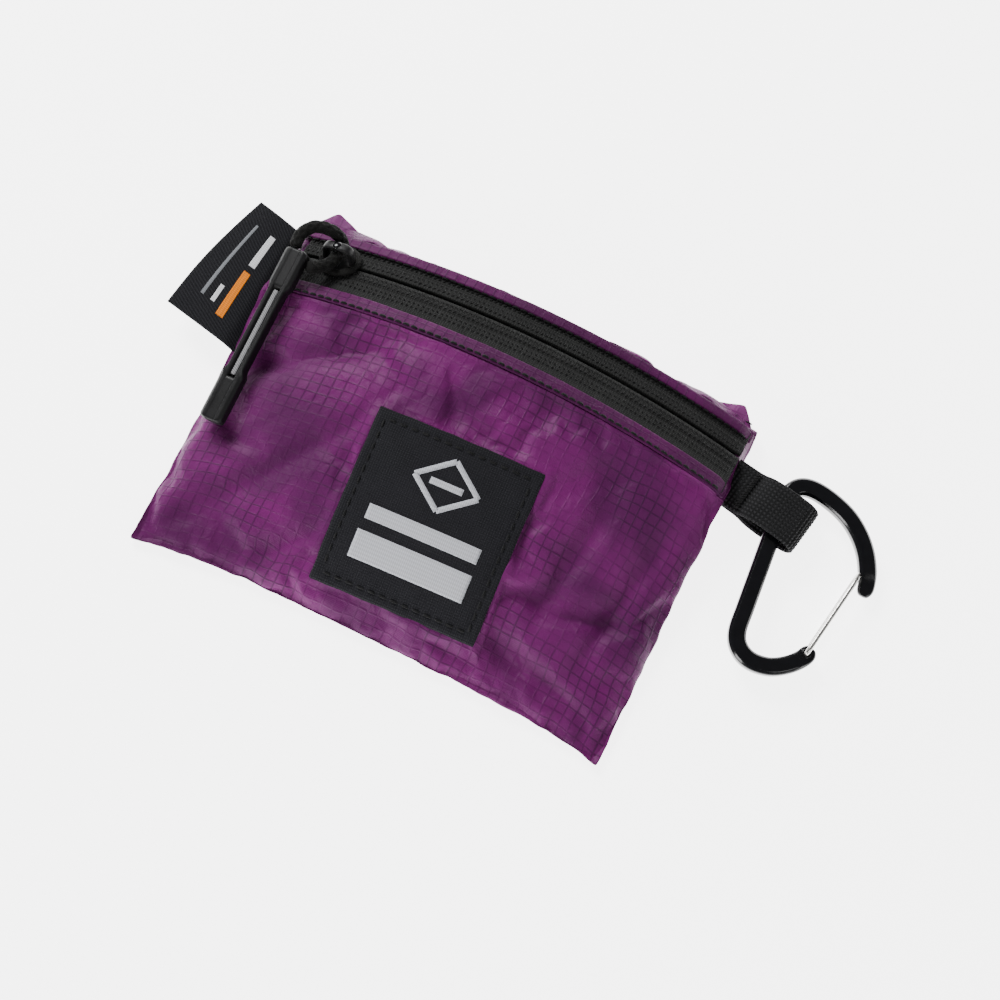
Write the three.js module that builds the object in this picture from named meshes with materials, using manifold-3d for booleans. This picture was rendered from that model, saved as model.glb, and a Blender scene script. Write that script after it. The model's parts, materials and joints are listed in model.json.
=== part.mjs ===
// Small zipped stuff sack (flat pouch) with a cord puller, a woven side tag and a mini carabiner.
// Units are millimetres. The pouch lies on its back: +X runs along the zipper towards the carabiner,
// +Y runs up the front towards the zipper, +Z points out of the front.
// The origin is the middle of the flat face that the pouch rests on.

import * as THREE from 'three';
import { mergeVertices } from 'three/addons/utils/BufferGeometryUtils.js';
import Module from 'manifold-3d';

const wasm = await Module();
wasm.setup();

const rad = THREE.MathUtils.degToRad;
const lerp = THREE.MathUtils.lerp;

// ---- driving dimensions -------------------------------------------------------------------

const GAP = 0.35;                 // clearance between touching pieces
const FABRIC = 0.8;               // wall of the fabric panels
const REST_HALF_X = 50;           // half size of the flat resting area of the back
const REST_HALF_Y = 34;

const LEFT_X = -62.8;             // side seams and bottom seam of the pouch
const RIGHT_X = 61.2;
const BOTTOM_Y = -43.3;
const CORNER_DROOP = 3.2;         // how far the bottom corners hang below the seam's middle
const SEAM_Z = 2.6;               // height of the seam at the bottom
const CROWN_Z = 20.2;             // highest point of the front
const FOLD_Y = 46.4;              // furthest reach of the fold behind the zipper

const ZIP_MID_X = 2;              // the zipper follows an arc in a plane leaning back by ZIP_LEAN
const ZIP_MID_Y = 38.3;
const ZIP_MID_Z = 15.5;
const ZIP_RADIUS = 200;
const ZIP_LEAN = rad(20);
const TAPE_ENDS_X = [-59, 60];
const TAPE_THICK = 0.6;
const SLIT_HALF = 0.75;           // half of the gap between the two tapes
const TAPE_LOWER_REACH = 12.0;    // how far each tape reaches from the slit
const TAPE_UPPER_REACH = 7.6;
const HEM_LOWER = [8.8, 12.6];    // nearest and furthest distance of each hem from the slit
const HEM_UPPER = [5.5, 7.9];
const HEM_THICK = 0.8;
const COIL = { near: 0.75, far: 2.6, top: 0.95, bottom: 2.35 };

const SLIDER_X = -48.6;           // the slider's place on the arc when the zipper is closed
const SLIDER_HALF_LENGTH = 4.6;
const SLIDER_HALF_WIDTH = 3.7;
const SLIDER_PLATE = 1.15;
const BRIDGE = { halfWidth: 1.3, post: 1.5, underside: 5.4, top: 6.5 };

const CORD_DIAMETER = 2.6;
const GRIP_X = -57.6;
const GRIP_TOP_Y = 32.6;
const GRIP_LENGTH = 47;
const GRIP_Z = 16.05;
const GRIP_DIP = rad(5.2);        // the grip's free end lies lower, and its inner side higher
const GRIP_ROLL = rad(-15);
const GRIP_THICK = 3.2;

const PATCH_SIZE = 43;
const PATCH_CENTRE = [0.8, -14.6];
const PATCH_TURN = rad(2.6);
const PATCH_THICK = 0.5;
const PATCH_STITCH_INSET = 2.5;

const TAG = { thick: 0.9, z: 6.6, hingeX: -63.5, top: [-74.6, 43.0], bottom: [-83.2, 9.4], bow: 1.2 };

const STRAP = { root: [61.8, 29.1], turn: rad(-10), start: 2.0, fold: 20.6, width: 12, ply: 1.15 };
const STRAP_Z = 5.0;
const STRAP_EYE_HALF = 3.25;      // half height of the loop's inside round the carabiner

const HOOK = { width: 4.4, thick: 3.6, chamfer: 0.9, dip: rad(4.6), turn: rad(5.4) };
const HOOK_PIVOT = [74.5, 25.9, 5.0];  // a point on the axis of the carabiner's spine
const WIRE = 1.25;
const WIRE_SPREAD = 1.75;         // half distance between the two legs of the wire gate

// ---- materials ----------------------------------------------------------------------------

const finish = (color, roughness, metalness = 0) => () =>
  new THREE.MeshStandardMaterial({ color, roughness, metalness });
const purpleRipstop = finish(0x6a2a6c, 0.55);
const blackTape = finish(0x2c2c2e, 0.9);
const blackCoil = finish(0x151516, 0.5);
const blackMetal = finish(0x0e0e10, 0.3, 0.6);
const blackWeave = finish(0x18181a, 0.95);
const blackRubber = finish(0x1c1c1e, 0.5);
const blackThread = finish(0x101012, 0.8);
const greyInlay = finish(0x9a9a9c, 0.6);
const steelWire = finish(0xc8c8c8, 0.25, 1);

// ---- solids -------------------------------------------------------------------------------

// A closed solid from a list of rings, each a closed loop of the same number of points.
// The rings run round the solid anticlockwise as seen looking back along the sweep.
function loft(rings, closed = false) {
  const size = rings[0].length;
  const position = rings.flat().flatMap((p) => [p.x, p.y, p.z]);
  const index = [];
  const bands = closed ? rings.length : rings.length - 1;
  for (let i = 0; i < bands; i++) {
    const here = i * size;
    const next = ((i + 1) % rings.length) * size;
    for (let j = 0; j < size; j++) {
      const k = (j + 1) % size;
      index.push(here + j, here + k, next + k);
      index.push(here + j, next + k, next + j);
    }
  }
  if (!closed) {
    const last = (rings.length - 1) * size;
    for (let j = 1; j < size - 1; j++) {
      index.push(0, j + 1, j);
      index.push(last, last + j, last + j + 1);
    }
  }
  const geometry = new THREE.BufferGeometry();
  geometry.setAttribute('position', new THREE.Float32BufferAttribute(position, 3));
  geometry.setIndex(index);
  return geometry;
}

// A curved sheet with a wall: pointAt gives its outer face over the unit square.
function shell(pointAt, across, up, wall) {
  const step = 1e-3;
  const within = (value) => THREE.MathUtils.clamp(value, 0, 1);
  const normalAt = (u, v) => {
    const alongU = pointAt(within(u + step), v).sub(pointAt(within(u - step), v));
    const alongV = pointAt(u, within(v + step)).sub(pointAt(u, within(v - step)));
    return alongU.cross(alongV).normalize();
  };
  const outer = [];
  const inner = [];
  for (let i = 0; i <= across; i++) {
    for (let j = 0; j <= up; j++) {
      const u = i / across;
      const v = j / up;
      const point = pointAt(u, v);
      outer.push(point);
      inner.push(point.clone().addScaledVector(normalAt(u, v), -wall));
    }
  }
  const position = [...outer, ...inner].flatMap((p) => [p.x, p.y, p.z]);
  const behind = outer.length;
  const at = (i, j) => i * (up + 1) + j;
  const index = [];
  const quad = (a, b, c, d) => index.push(a, b, c, a, c, d);
  for (let i = 0; i < across; i++) {
    for (let j = 0; j < up; j++) {
      quad(at(i, j), at(i + 1, j), at(i + 1, j + 1), at(i, j + 1));
      quad(behind + at(i, j), behind + at(i, j + 1), behind + at(i + 1, j + 1), behind + at(i + 1, j));
    }
  }
  const rim = (a, b) => quad(b, a, behind + a, behind + b);
  for (let i = 0; i < across; i++) {
    rim(at(i, 0), at(i + 1, 0));
    rim(at(i + 1, up), at(i, up));
  }
  for (let j = 0; j < up; j++) {
    rim(at(0, j + 1), at(0, j));
    rim(at(across, j), at(across, j + 1));
  }
  const geometry = new THREE.BufferGeometry();
  geometry.setAttribute('position', new THREE.Float32BufferAttribute(position, 3));
  geometry.setIndex(index);
  return geometry;
}

function box(sizeX, sizeY, sizeZ, x, y, z) {
  return new THREE.BoxGeometry(sizeX, sizeY, sizeZ).translate(x, y, z);
}

// A round bar along a curve, with flat ends.
function bar(curve, diameter, sides, steps) {
  const outline = new THREE.Shape();
  for (let i = 0; i < sides; i++) {
    const angle = (i / sides) * 2 * Math.PI;
    const x = (diameter / 2) * Math.cos(angle);
    const y = (diameter / 2) * Math.sin(angle);
    if (i === 0) {
      outline.moveTo(x, y);
    } else {
      outline.lineTo(x, y);
    }
  }
  return new THREE.ExtrudeGeometry(outline, { steps, extrudePath: curve });
}

function toSolid(geometry) {
  const bare = geometry.clone();
  bare.deleteAttribute('normal');
  bare.deleteAttribute('uv');
  const merged = mergeVertices(bare);
  return new wasm.Manifold(new wasm.Mesh({
    numProp: 3,
    vertProperties: new Float32Array(merged.attributes.position.array),
    triVerts: new Uint32Array(merged.index.array),
  }));
}

function toGeometry(solid) {
  const mesh = solid.getMesh();
  const geometry = new THREE.BufferGeometry();
  geometry.setAttribute('position', new THREE.BufferAttribute(new Float32Array(mesh.vertProperties), 3));
  geometry.setIndex(new THREE.BufferAttribute(new Uint32Array(mesh.triVerts), 1));
  return geometry;
}

const join = (...parts) => toGeometry(parts.map(toSolid).reduce((whole, part) => whole.add(part)));
const cut = (body, ...tools) =>
  toGeometry(tools.map(toSolid).reduce((whole, tool) => whole.subtract(tool), toSolid(body)));

// ---- the zipper's arc ---------------------------------------------------------------------

const ALONG = new THREE.Vector3(1, 0, 0);
const ACROSS = new THREE.Vector3(0, Math.cos(ZIP_LEAN), -Math.sin(ZIP_LEAN));
const OUT = new THREE.Vector3(0, Math.sin(ZIP_LEAN), Math.cos(ZIP_LEAN));
const ZIP_CENTRE = new THREE.Vector3(ZIP_MID_X, ZIP_MID_Y, ZIP_MID_Z).addScaledVector(OUT, -ZIP_RADIUS);

// A point beside the slit: across towards the top fold, out of the tape's outer face.
function zipPoint(angle, across, out) {
  return ZIP_CENTRE.clone()
    .addScaledVector(ACROSS, across)
    .addScaledVector(ALONG, (ZIP_RADIUS + out) * Math.sin(angle))
    .addScaledVector(OUT, (ZIP_RADIUS + out) * Math.cos(angle));
}
const zipAngle = (x) => Math.asin((x - ZIP_MID_X) / ZIP_RADIUS);

// A strip that follows the arc, with a rectangular section.
function zipStrip([across0, across1], [out0, out1], [angle0, angle1], steps) {
  const rings = [];
  for (let i = 0; i <= steps; i++) {
    const angle = lerp(angle0, angle1, i / steps);
    rings.push([
      zipPoint(angle, across0, out0),
      zipPoint(angle, across1, out0),
      zipPoint(angle, across1, out1),
      zipPoint(angle, across0, out1),
    ]);
  }
  return loft(rings);
}

// ---- the pouch's faces --------------------------------------------------------------------

const SIDE_HALF_X = 62.5;

const sideX = (u, b) => lerp(LEFT_X - 1.2 * (1 - b) ** 3, RIGHT_X, u);
const seamY = (x) => BOTTOM_Y - CORNER_DROOP * ((x + 1) / 62) ** 4;

// A point of the zipper's arc over x, level beyond the ends of the tapes.
function zipEdge(x, across, out) {
  const angle = zipAngle(THREE.MathUtils.clamp(x, ...TAPE_ENDS_X));
  return zipPoint(angle, across, out).setX(x);
}
const hemEdge = (x) => zipEdge(x, -(HEM_LOWER[1] + 0.3), 0);
const foldEdge = (x) => zipEdge(x, HEM_UPPER[1] + 0.3, -TAPE_THICK);

// Height of the side seams, which climb from the bottom corners to the ends of the hem.
const sideTop = hemEdge(LEFT_X);
const seamZ = (b) => lerp(SEAM_Z, sideTop.z, b ** 1.6);

function frontPoint(u, b) {
  const x = sideX(u, b);
  const hem = hemEdge(x);
  const overSide = Math.max(0, 1 - (2 * u - 1) ** 2) ** lerp(0.6, 1, b);
  const crown = SEAM_Z + (CROWN_Z - SEAM_Z) * (1 - (1 - b) ** 2.1) ** 0.85;
  const lift = Math.max(0, crown - seamZ(b)) * overSide;
  const fit = hem.z - sideTop.z - (CROWN_Z - sideTop.z) * overSide;
  return new THREE.Vector3(x, lerp(seamY(x), hem.y, b), seamZ(b) + lift + fit * b ** 4);
}

// Height of the back's outer face: flat where it rests, turned up at the seams.
function backZ(x, y) {
  const side = THREE.MathUtils.smoothstep(Math.abs(x), REST_HALF_X, SIDE_HALF_X);
  const bottom = 1 - THREE.MathUtils.smoothstep(y, BOTTOM_Y - 2, -REST_HALF_Y);
  const under = FABRIC + GAP + 0.5;
  const b = THREE.MathUtils.clamp((y - BOTTOM_Y) / (sideTop.y - BOTTOM_Y), 0, 1);
  const pastHem = Math.max(0, y - sideTop.y);
  const seam = seamZ(b) - 2 * under - pastHem * 0.62;
  return Math.max(Math.max(0.4, seam) * side, 0.4 * bottom);
}

// The back from the bottom seam, flat to the top, then round the fold to the zipper's upper tape.
function backPoint(u, v) {
  const turnAt = 0.72;
  const startY = REST_HALF_Y + 4;
  const flat = Math.min(v / turnAt, 1);
  const x = sideX(u, flat);
  const y = lerp(seamY(x), startY, flat);
  if (v <= turnAt) {
    return new THREE.Vector3(x, y, backZ(x, y));
  }
  const turn = ((v - turnAt) / (1 - turnAt)) * Math.PI;
  const top = foldEdge(x);
  const side = THREE.MathUtils.smoothstep(Math.abs(x), REST_HALF_X, SIDE_HALF_X);
  const reach = lerp(FOLD_Y, top.y + 1.2, side);
  const from = turn < Math.PI / 2 ? startY : top.y;
  return new THREE.Vector3(
    x,
    lerp(from, reach, Math.sin(turn)),
    lerp(backZ(x, startY), top.z, (1 - Math.cos(turn)) / 2),
  );
}

// A loose corner of fabric that stands out behind one end of the zipper.
function ear(corners) {
  const outline = new THREE.Shape(corners.map(([x, y]) => new THREE.Vector2(x, y)));
  return new THREE.ExtrudeGeometry(outline, { depth: 1.1, bevelEnabled: false }).translate(0, 0, 1.1);
}

function backPanel() {
  const panel = shell((u, v) => backPoint(1 - u, v), 28, 25, FABRIC);
  return join(
    panel,
    ear([[-60.5, 37], [-44, 38], [-43.5, 44.2], [-49.5, 47.4], [-54.5, 47.4]]),
    ear([[46, 38], [59.5, 37], [60.4, 40.2], [58, 47.4], [53, 47.4], [46, 45]]),
  );
}

// A flat tape inside a seam, at mid height between the front and the back.
function seamBinding(pointAt, inward, steps) {
  const rings = [];
  for (let i = 0; i <= steps; i++) {
    const near = pointAt(i / steps);
    const far = near.clone().add(inward);
    const ring = [near, far].map(({ x, y }) => {
      const middle = (overFront(x, y, -FABRIC).z + backZ(x, y) + FABRIC) / 2;
      return new THREE.Vector3(x, y, middle);
    });
    const lift = (point, z) => point.clone().setZ(point.z + z);
    rings.push([lift(ring[0], -0.3), lift(ring[1], -0.3), lift(ring[1], 0.3), lift(ring[0], 0.3)]);
  }
  return loft(rings);
}

// A patch of cloth that lies over the front, at a height above it.
function overFront(x, y, height) {
  const b = (y - seamY(x)) / (hemEdge(x).y - seamY(x));
  const u = (x - sideX(0, b)) / (sideX(1, b) - sideX(0, b));
  const step = 1e-3;
  const point = frontPoint(u, b);
  const alongU = frontPoint(u + step, b).sub(frontPoint(u - step, b));
  const alongB = frontPoint(u, b + step).sub(frontPoint(u, b - step));
  return point.addScaledVector(alongU.cross(alongB).normalize(), height);
}

function patchPoint(x, y, height) {
  const turned = new THREE.Vector2(x, y).rotateAround(new THREE.Vector2(0, 0), PATCH_TURN);
  return overFront(PATCH_CENTRE[0] + turned.x, PATCH_CENTRE[1] + turned.y, height);
}

function patch() {
  const half = PATCH_SIZE / 2;
  const pointAt = (u, v) => patchPoint(lerp(-half, half, u), lerp(-half, half, v), GAP + PATCH_THICK);
  return shell(pointAt, 9, 9, PATCH_THICK);
}

// One raised line of thread round the patch, a little inside its edge.
function patchStitching() {
  const half = PATCH_SIZE / 2 - PATCH_STITCH_INSET;
  const base = GAP + PATCH_THICK + 0.3;
  const corners = [[-half, -half], [half, -half], [half, half], [-half, half]];
  const perSide = 9;
  const rings = [];
  for (let side = 0; side < 4; side++) {
    const [x0, y0] = corners[side];
    const [x1, y1] = corners[(side + 1) % 4];
    for (let i = 0; i < perSide; i++) {
      const x = lerp(x0, x1, i / perSide);
      const y = lerp(y0, y1, i / perSide);
      const inner = 1 - 0.6 / half;
      rings.push([
        patchPoint(x, y, base),
        patchPoint(x, y, base + 0.2),
        patchPoint(x * inner, y * inner, base + 0.2),
        patchPoint(x * inner, y * inner, base),
      ]);
    }
  }
  return loft(rings.reverse(), true);
}

// ---- side tag -----------------------------------------------------------------------------

function tagRings() {
  const steps = 10;
  const rings = [];
  for (let i = 0; i <= steps; i++) {
    const t = i / steps;
    const y = lerp(40, 4.2, t);
    const bow = TAG.bow * Math.sin(t * Math.PI);
    const outerX = lerp(TAG.top[0], TAG.bottom[0], t) - bow;
    const outerY = lerp(TAG.top[1], TAG.bottom[1], t);
    const middleX = (TAG.hingeX + outerX) / 2;
    const middleY = (y + outerY) / 2;
    rings.push([
      new THREE.Vector3(TAG.hingeX, y, TAG.z),
      new THREE.Vector3(TAG.hingeX, y, TAG.z + TAG.thick),
      new THREE.Vector3(middleX, middleY, TAG.z + TAG.thick + 0.4),
      new THREE.Vector3(outerX, outerY, TAG.z + TAG.thick - 1.0),
      new THREE.Vector3(outerX, outerY, TAG.z - 1.0),
      new THREE.Vector3(middleX, middleY, TAG.z + 0.4),
    ]);
  }
  return rings;
}

// The tag's section bends, so it is made of an inner and an outer half that meet at the bend.
function sideTag() {
  const rings = tagRings();
  const inner = rings.map(([a, b, c, , , f]) => [b, c, f, a]);
  const outer = rings.map(([, , c, d, e, f]) => [c, d, e, f]);
  return join(loft(inner), loft(outer));
}

// ---- webbing loop and carabiner -----------------------------------------------------------

// Side view of the loop: two plies that leave the seam together and open round the carabiner.
function strapProfile(inset) {
  const shape = new THREE.Shape();
  const half = STRAP_EYE_HALF + STRAP.ply - inset;
  const root = 1.45 - inset;
  const start = STRAP.start + (inset > 0 ? 1.2 : 0);
  const end = STRAP.fold - inset;
  shape.moveTo(start, -root);
  shape.bezierCurveTo(5, -root, 6, -half, 10, -half);
  shape.lineTo(15, -half);
  shape.bezierCurveTo(18.2, -half, end, -half * 0.7, end, 0);
  shape.bezierCurveTo(end, half * 0.7, 18.2, half, 15, half);
  shape.lineTo(10, half);
  shape.bezierCurveTo(6, half, 5, root, start, root);
  shape.closePath();
  return shape;
}

function webbingLoop() {
  const depth = STRAP.width;
  const settings = { depth, bevelEnabled: false, curveSegments: 8 };
  const outside = new THREE.ExtrudeGeometry(strapProfile(0), settings);
  const inside = new THREE.ExtrudeGeometry(strapProfile(STRAP.ply), { ...settings, depth: depth + 2 });
  inside.translate(0, 0, -1);
  const solid = cut(outside, inside);
  solid.rotateX(Math.PI / 2);
  solid.translate(0, depth / 2, 0);
  solid.rotateZ(STRAP.turn);
  return solid.translate(STRAP.root[0], STRAP.root[1], STRAP_Z);
}

// A band of thread across both plies, close to the seam.
function strapBartack() {
  const band = box(1.6, STRAP.width - 2, 0.5, STRAP.start + 1.6, 0, 1.45 + GAP + 0.7);
  band.rotateZ(STRAP.turn);
  return band.translate(STRAP.root[0], STRAP.root[1], STRAP_Z);
}

// The carabiner lies in its own plane: x away from the spine, y along it, the pivot at 0, 0.
const hookRoute = new THREE.CatmullRomCurve3([
  [18.3, -26.6], [17.0, -29.6], [14.0, -32.6], [9.9, -34.7], [5.2, -34.9], [1.7, -32.9], [0.1, -29.4],
  [0, -23.5], [0, -14.5], [0, -5.5], [0, 2.5], [0.7, 7.3], [3.3, 9.8], [8.0, 9.8],
  [14.6, 7.5], [19.2, 4.2], [22.7, -0.1], [24.9, -5.0], [25.5, -7.9], [25.3, -10.4],
].map(([x, y]) => new THREE.Vector3(x, y, 0)), false, 'catmullrom', 0.5);
const GATE_PIVOT = new THREE.Vector2(17.2, -28.6);
const GATE_TIP = new THREE.Vector2(23.0, -5.4);

// Puts a shape drawn in the carabiner's plane where it lies, with its free side down.
function placeHook(geometry) {
  geometry.rotateY(HOOK.dip);
  geometry.rotateZ(HOOK.turn);
  return geometry.translate(...HOOK_PIVOT);
}

function hookSection() {
  const half = HOOK.width / 2;
  const flat = HOOK.thick / 2;
  const c = HOOK.chamfer;
  const corners = [
    [flat, half - c], [flat - c, half], [-flat + c, half], [-flat, half - c],
    [-flat, -half + c], [-flat + c, -half], [flat - c, -half], [flat, -half + c],
  ];
  return new THREE.Shape(corners.map(([x, y]) => new THREE.Vector2(x, y)));
}

function carabinerFrame() {
  const frame = new THREE.ExtrudeGeometry(hookSection(), { steps: 44, extrudePath: hookRoute });
  const [px, py] = GATE_PIVOT.toArray();
  const cheek = (side) => box(8, 7, 2, px, py + 2, side * (WIRE_SPREAD + 0.25));
  const pinHole = new THREE.CylinderGeometry(WIRE / 2 + GAP, WIRE / 2 + GAP, 8, 12)
    .rotateX(Math.PI / 2).translate(px, py, 0);
  const notch = new THREE.CylinderGeometry(1.35, 1.35, 8, 12)
    .rotateX(Math.PI / 2).translate(GATE_TIP.x, GATE_TIP.y, 0);
  const noseCheek = (side) => box(3.6, 12, 2, GATE_TIP.x - 0.5, GATE_TIP.y - 4, side * 1.95);
  return placeHook(cut(frame, cheek(1), cheek(-1), noseCheek(1), noseCheek(-1), pinHole, notch));
}

// One bent wire: both ends turn into the frame at the pivot, and its bend closes on the nose.
function wireGate() {
  const pivot = new THREE.Vector3(GATE_PIVOT.x, GATE_PIVOT.y, 0);
  const tip = new THREE.Vector3(GATE_TIP.x, GATE_TIP.y, 0);
  const legAt = (t, z) => pivot.clone().lerp(tip, t).setZ(z);
  const spread = WIRE_SPREAD + 0.45;
  const points = [
    legAt(0, 0.55), legAt(0, spread - 0.5), legAt(0.03, spread), legAt(0.12, spread), legAt(0.45, spread),
    legAt(0.8, spread - 0.1), legAt(0.95, spread - 0.7), legAt(1, 0),
    legAt(0.95, 0.7 - spread), legAt(0.8, 0.1 - spread),
    legAt(0.45, -spread), legAt(0.12, -spread), legAt(0.03, -spread), legAt(0, 0.5 - spread), legAt(0, -0.55),
  ];
  const route = new THREE.CatmullRomCurve3(points, false, 'centripetal');
  return placeHook(bar(route, WIRE, 6, 48));
}

// ---- slider, cord and grip ----------------------------------------------------------------

const SLIDER_ANGLE = zipAngle(SLIDER_X);

// Puts a shape drawn round the slider's own centre (x along the slit, y across, z out) on the arc.
function placeOnZip(geometry, angle) {
  const out = zipPoint(angle, 0, 1).sub(zipPoint(angle, 0, 0));
  const along = new THREE.Vector3().crossVectors(ACROSS, out);
  const frame = new THREE.Matrix4().makeBasis(along, ACROSS, out);
  frame.setPosition(zipPoint(angle, 0, 0));
  return geometry.applyMatrix4(frame);
}

function roundedPlate(halfLength, halfWidth, radius, thick, z) {
  const shape = new THREE.Shape();
  shape.moveTo(-halfLength + radius, -halfWidth);
  shape.lineTo(halfLength - radius, -halfWidth);
  shape.quadraticCurveTo(halfLength, -halfWidth, halfLength, -halfWidth + radius);
  shape.lineTo(halfLength, halfWidth - radius);
  shape.quadraticCurveTo(halfLength, halfWidth, halfLength - radius, halfWidth);
  shape.lineTo(-halfLength + radius, halfWidth);
  shape.quadraticCurveTo(-halfLength, halfWidth, -halfLength, halfWidth - radius);
  shape.lineTo(-halfLength, -halfWidth + radius);
  shape.quadraticCurveTo(-halfLength, -halfWidth, -halfLength + radius, -halfWidth);
  const settings = { depth: thick, bevelEnabled: false, curveSegments: 5 };
  return new THREE.ExtrudeGeometry(shape, settings).translate(0, 0, z);
}

function sliderBody() {
  const topPlate = roundedPlate(SLIDER_HALF_LENGTH, SLIDER_HALF_WIDTH, 2, SLIDER_PLATE, GAP);
  const underside = -(COIL.bottom + GAP);
  const lowPlate = roundedPlate(SLIDER_HALF_LENGTH, SLIDER_HALF_WIDTH, 2, SLIDER_PLATE, underside - SLIDER_PLATE);
  const neckHeight = GAP - underside + SLIDER_PLATE;
  const neck = box(3.4, 2 * (SLIT_HALF - GAP), neckHeight, 0.4, 0, (GAP + underside) / 2);
  return placeOnZip(join(topPlate, lowPlate, neck), SLIDER_ANGLE);
}

// The arch that the cord runs under, with one post inside the cord's ring.
function sliderBridge() {
  const shape = new THREE.Shape();
  const end = SLIDER_HALF_LENGTH - 0.4;
  const foot = GAP + SLIDER_PLATE + 0.3;
  shape.moveTo(-end, foot);
  shape.lineTo(-end, BRIDGE.top - 1.4);
  shape.quadraticCurveTo(-end, BRIDGE.top, -end + 1.8, BRIDGE.top);
  shape.lineTo(end - 1.8, BRIDGE.top);
  shape.quadraticCurveTo(end, BRIDGE.top, end, BRIDGE.top - 1.4);
  shape.lineTo(end, foot);
  shape.lineTo(end - BRIDGE.post, foot);
  shape.lineTo(end - BRIDGE.post, BRIDGE.underside - 0.8);
  shape.quadraticCurveTo(end - BRIDGE.post, BRIDGE.underside, end - BRIDGE.post - 0.8, BRIDGE.underside);
  shape.lineTo(-end + BRIDGE.post + 0.8, BRIDGE.underside);
  shape.quadraticCurveTo(-end + BRIDGE.post, BRIDGE.underside, -end + BRIDGE.post, BRIDGE.underside - 0.8);
  shape.lineTo(-end + BRIDGE.post, foot);
  shape.closePath();
  const settings = { depth: 2 * BRIDGE.halfWidth, bevelEnabled: false, curveSegments: 5 };
  const arch = new THREE.ExtrudeGeometry(shape, settings);
  arch.rotateX(Math.PI / 2);
  arch.translate(0, BRIDGE.halfWidth, 0);
  return placeOnZip(arch, SLIDER_ANGLE);
}

// The cord's ring: out of the grip, round over the slider, under the bridge and back to the grip.
const cordRoute = () => {
  const under = zipPoint(SLIDER_ANGLE, 0, 3.4);
  return new THREE.CatmullRomCurve3([
    new THREE.Vector3(GRIP_X - 1.5, GRIP_TOP_Y + 0.7, GRIP_Z),
    new THREE.Vector3(GRIP_X - 1.6, 36.8, GRIP_Z),
    new THREE.Vector3(GRIP_X + 0.6, 40.1, GRIP_Z - 0.5),
    new THREE.Vector3(GRIP_X + 4.8, 41.2, GRIP_Z - 1.6),
    new THREE.Vector3(under.x - 0.7, 40.5, under.z - 1.0),
    under,
    new THREE.Vector3(under.x - 0.7, 33.4, under.z + 1.4),
    new THREE.Vector3(under.x - 2.9, 30.4, GRIP_Z - 0.1),
    new THREE.Vector3(GRIP_X + 4.3, 29.6, GRIP_Z + 0.9),
  ], false, 'centripetal');
};

// Width of the moulded grip, from its upper head, along the narrow shaft, to its lower head.
function gripOutline() {
  const head = 3.1;
  const neck = 2.45;
  const end = -GRIP_LENGTH;
  const shape = new THREE.Shape();
  shape.moveTo(-head + 0.8, 0);
  shape.lineTo(head - 0.8, 0);
  shape.quadraticCurveTo(head, 0, head, -0.8);
  shape.lineTo(head, -9);
  shape.quadraticCurveTo(neck, -10.5, neck, -12.5);
  shape.lineTo(neck, end + 13);
  shape.quadraticCurveTo(neck, end + 12, head, end + 11);
  shape.lineTo(head, end + 1.5);
  shape.quadraticCurveTo(head, end, head - 1.5, end);
  shape.lineTo(-head + 1.5, end);
  shape.quadraticCurveTo(-head, end, -head, end + 1.5);
  shape.lineTo(-head, end + 11);
  shape.quadraticCurveTo(-neck, end + 12, -neck, end + 13);
  shape.lineTo(-neck, -12.5);
  shape.quadraticCurveTo(-neck, -10.5, -head, -9);
  shape.lineTo(-head, -0.8);
  shape.quadraticCurveTo(-head, 0, -head + 0.8, 0);
  return shape;
}
const GRIP_WINDOW = { width: 2.2, top: -11, bottom: -35, deep: 1.5 };

function placeGrip(geometry) {
  geometry.rotateY(GRIP_ROLL);
  geometry.rotateX(GRIP_DIP);
  return geometry.translate(GRIP_X, GRIP_TOP_Y, GRIP_Z);
}

function pullGrip() {
  const settings = { depth: GRIP_THICK, bevelEnabled: false, curveSegments: 5 };
  const block = new THREE.ExtrudeGeometry(gripOutline(), settings).translate(0, 0, -GRIP_THICK / 2);
  const { width, top, bottom, deep } = GRIP_WINDOW;
  const window = box(width, top - bottom, deep * 2, 0, (top + bottom) / 2, GRIP_THICK / 2);
  return placeGrip(cut(block, window));
}

// The stretch of cord that shows in the grip's channel.
function gripInlay() {
  const { width, top, bottom, deep } = GRIP_WINDOW;
  const thick = deep - 0.5 - GAP;
  const strip = box(width - 0.7, top - bottom - 0.7, thick, 0, (top + bottom) / 2, 0);
  return placeGrip(strip.translate(0, 0, GRIP_THICK / 2 - 0.5 - thick / 2));
}

// ---- assembly -----------------------------------------------------------------------------

const group = new THREE.Group();

function add(name, geometry, material) {
  const mesh = new THREE.Mesh(geometry, material());
  mesh.name = name;
  group.add(mesh);
}

const tapeAngles = TAPE_ENDS_X.map(zipAngle);
const coilAngles = [-57, 57].map(zipAngle);
const tapeDepth = [-TAPE_THICK, 0];
const hemDepth = [GAP, GAP + HEM_THICK];
const coilDepth = [-COIL.bottom, -COIL.top];

add('back_panel', backPanel(), purpleRipstop);
add('front_panel', shell(frontPoint, 28, 18, FABRIC), purpleRipstop);
const alongTape = (across, depth) => zipStrip(across, depth, tapeAngles, 24);
add('front_hem', alongTape([-HEM_LOWER[1], -HEM_LOWER[0]], hemDepth), purpleRipstop);
add('back_hem', alongTape(HEM_UPPER, hemDepth), purpleRipstop);
add('zipper_tape_lower', alongTape([-TAPE_LOWER_REACH, -SLIT_HALF], tapeDepth), blackTape);
add('zipper_tape_upper', alongTape([SLIT_HALF, TAPE_UPPER_REACH], tapeDepth), blackTape);

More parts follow.
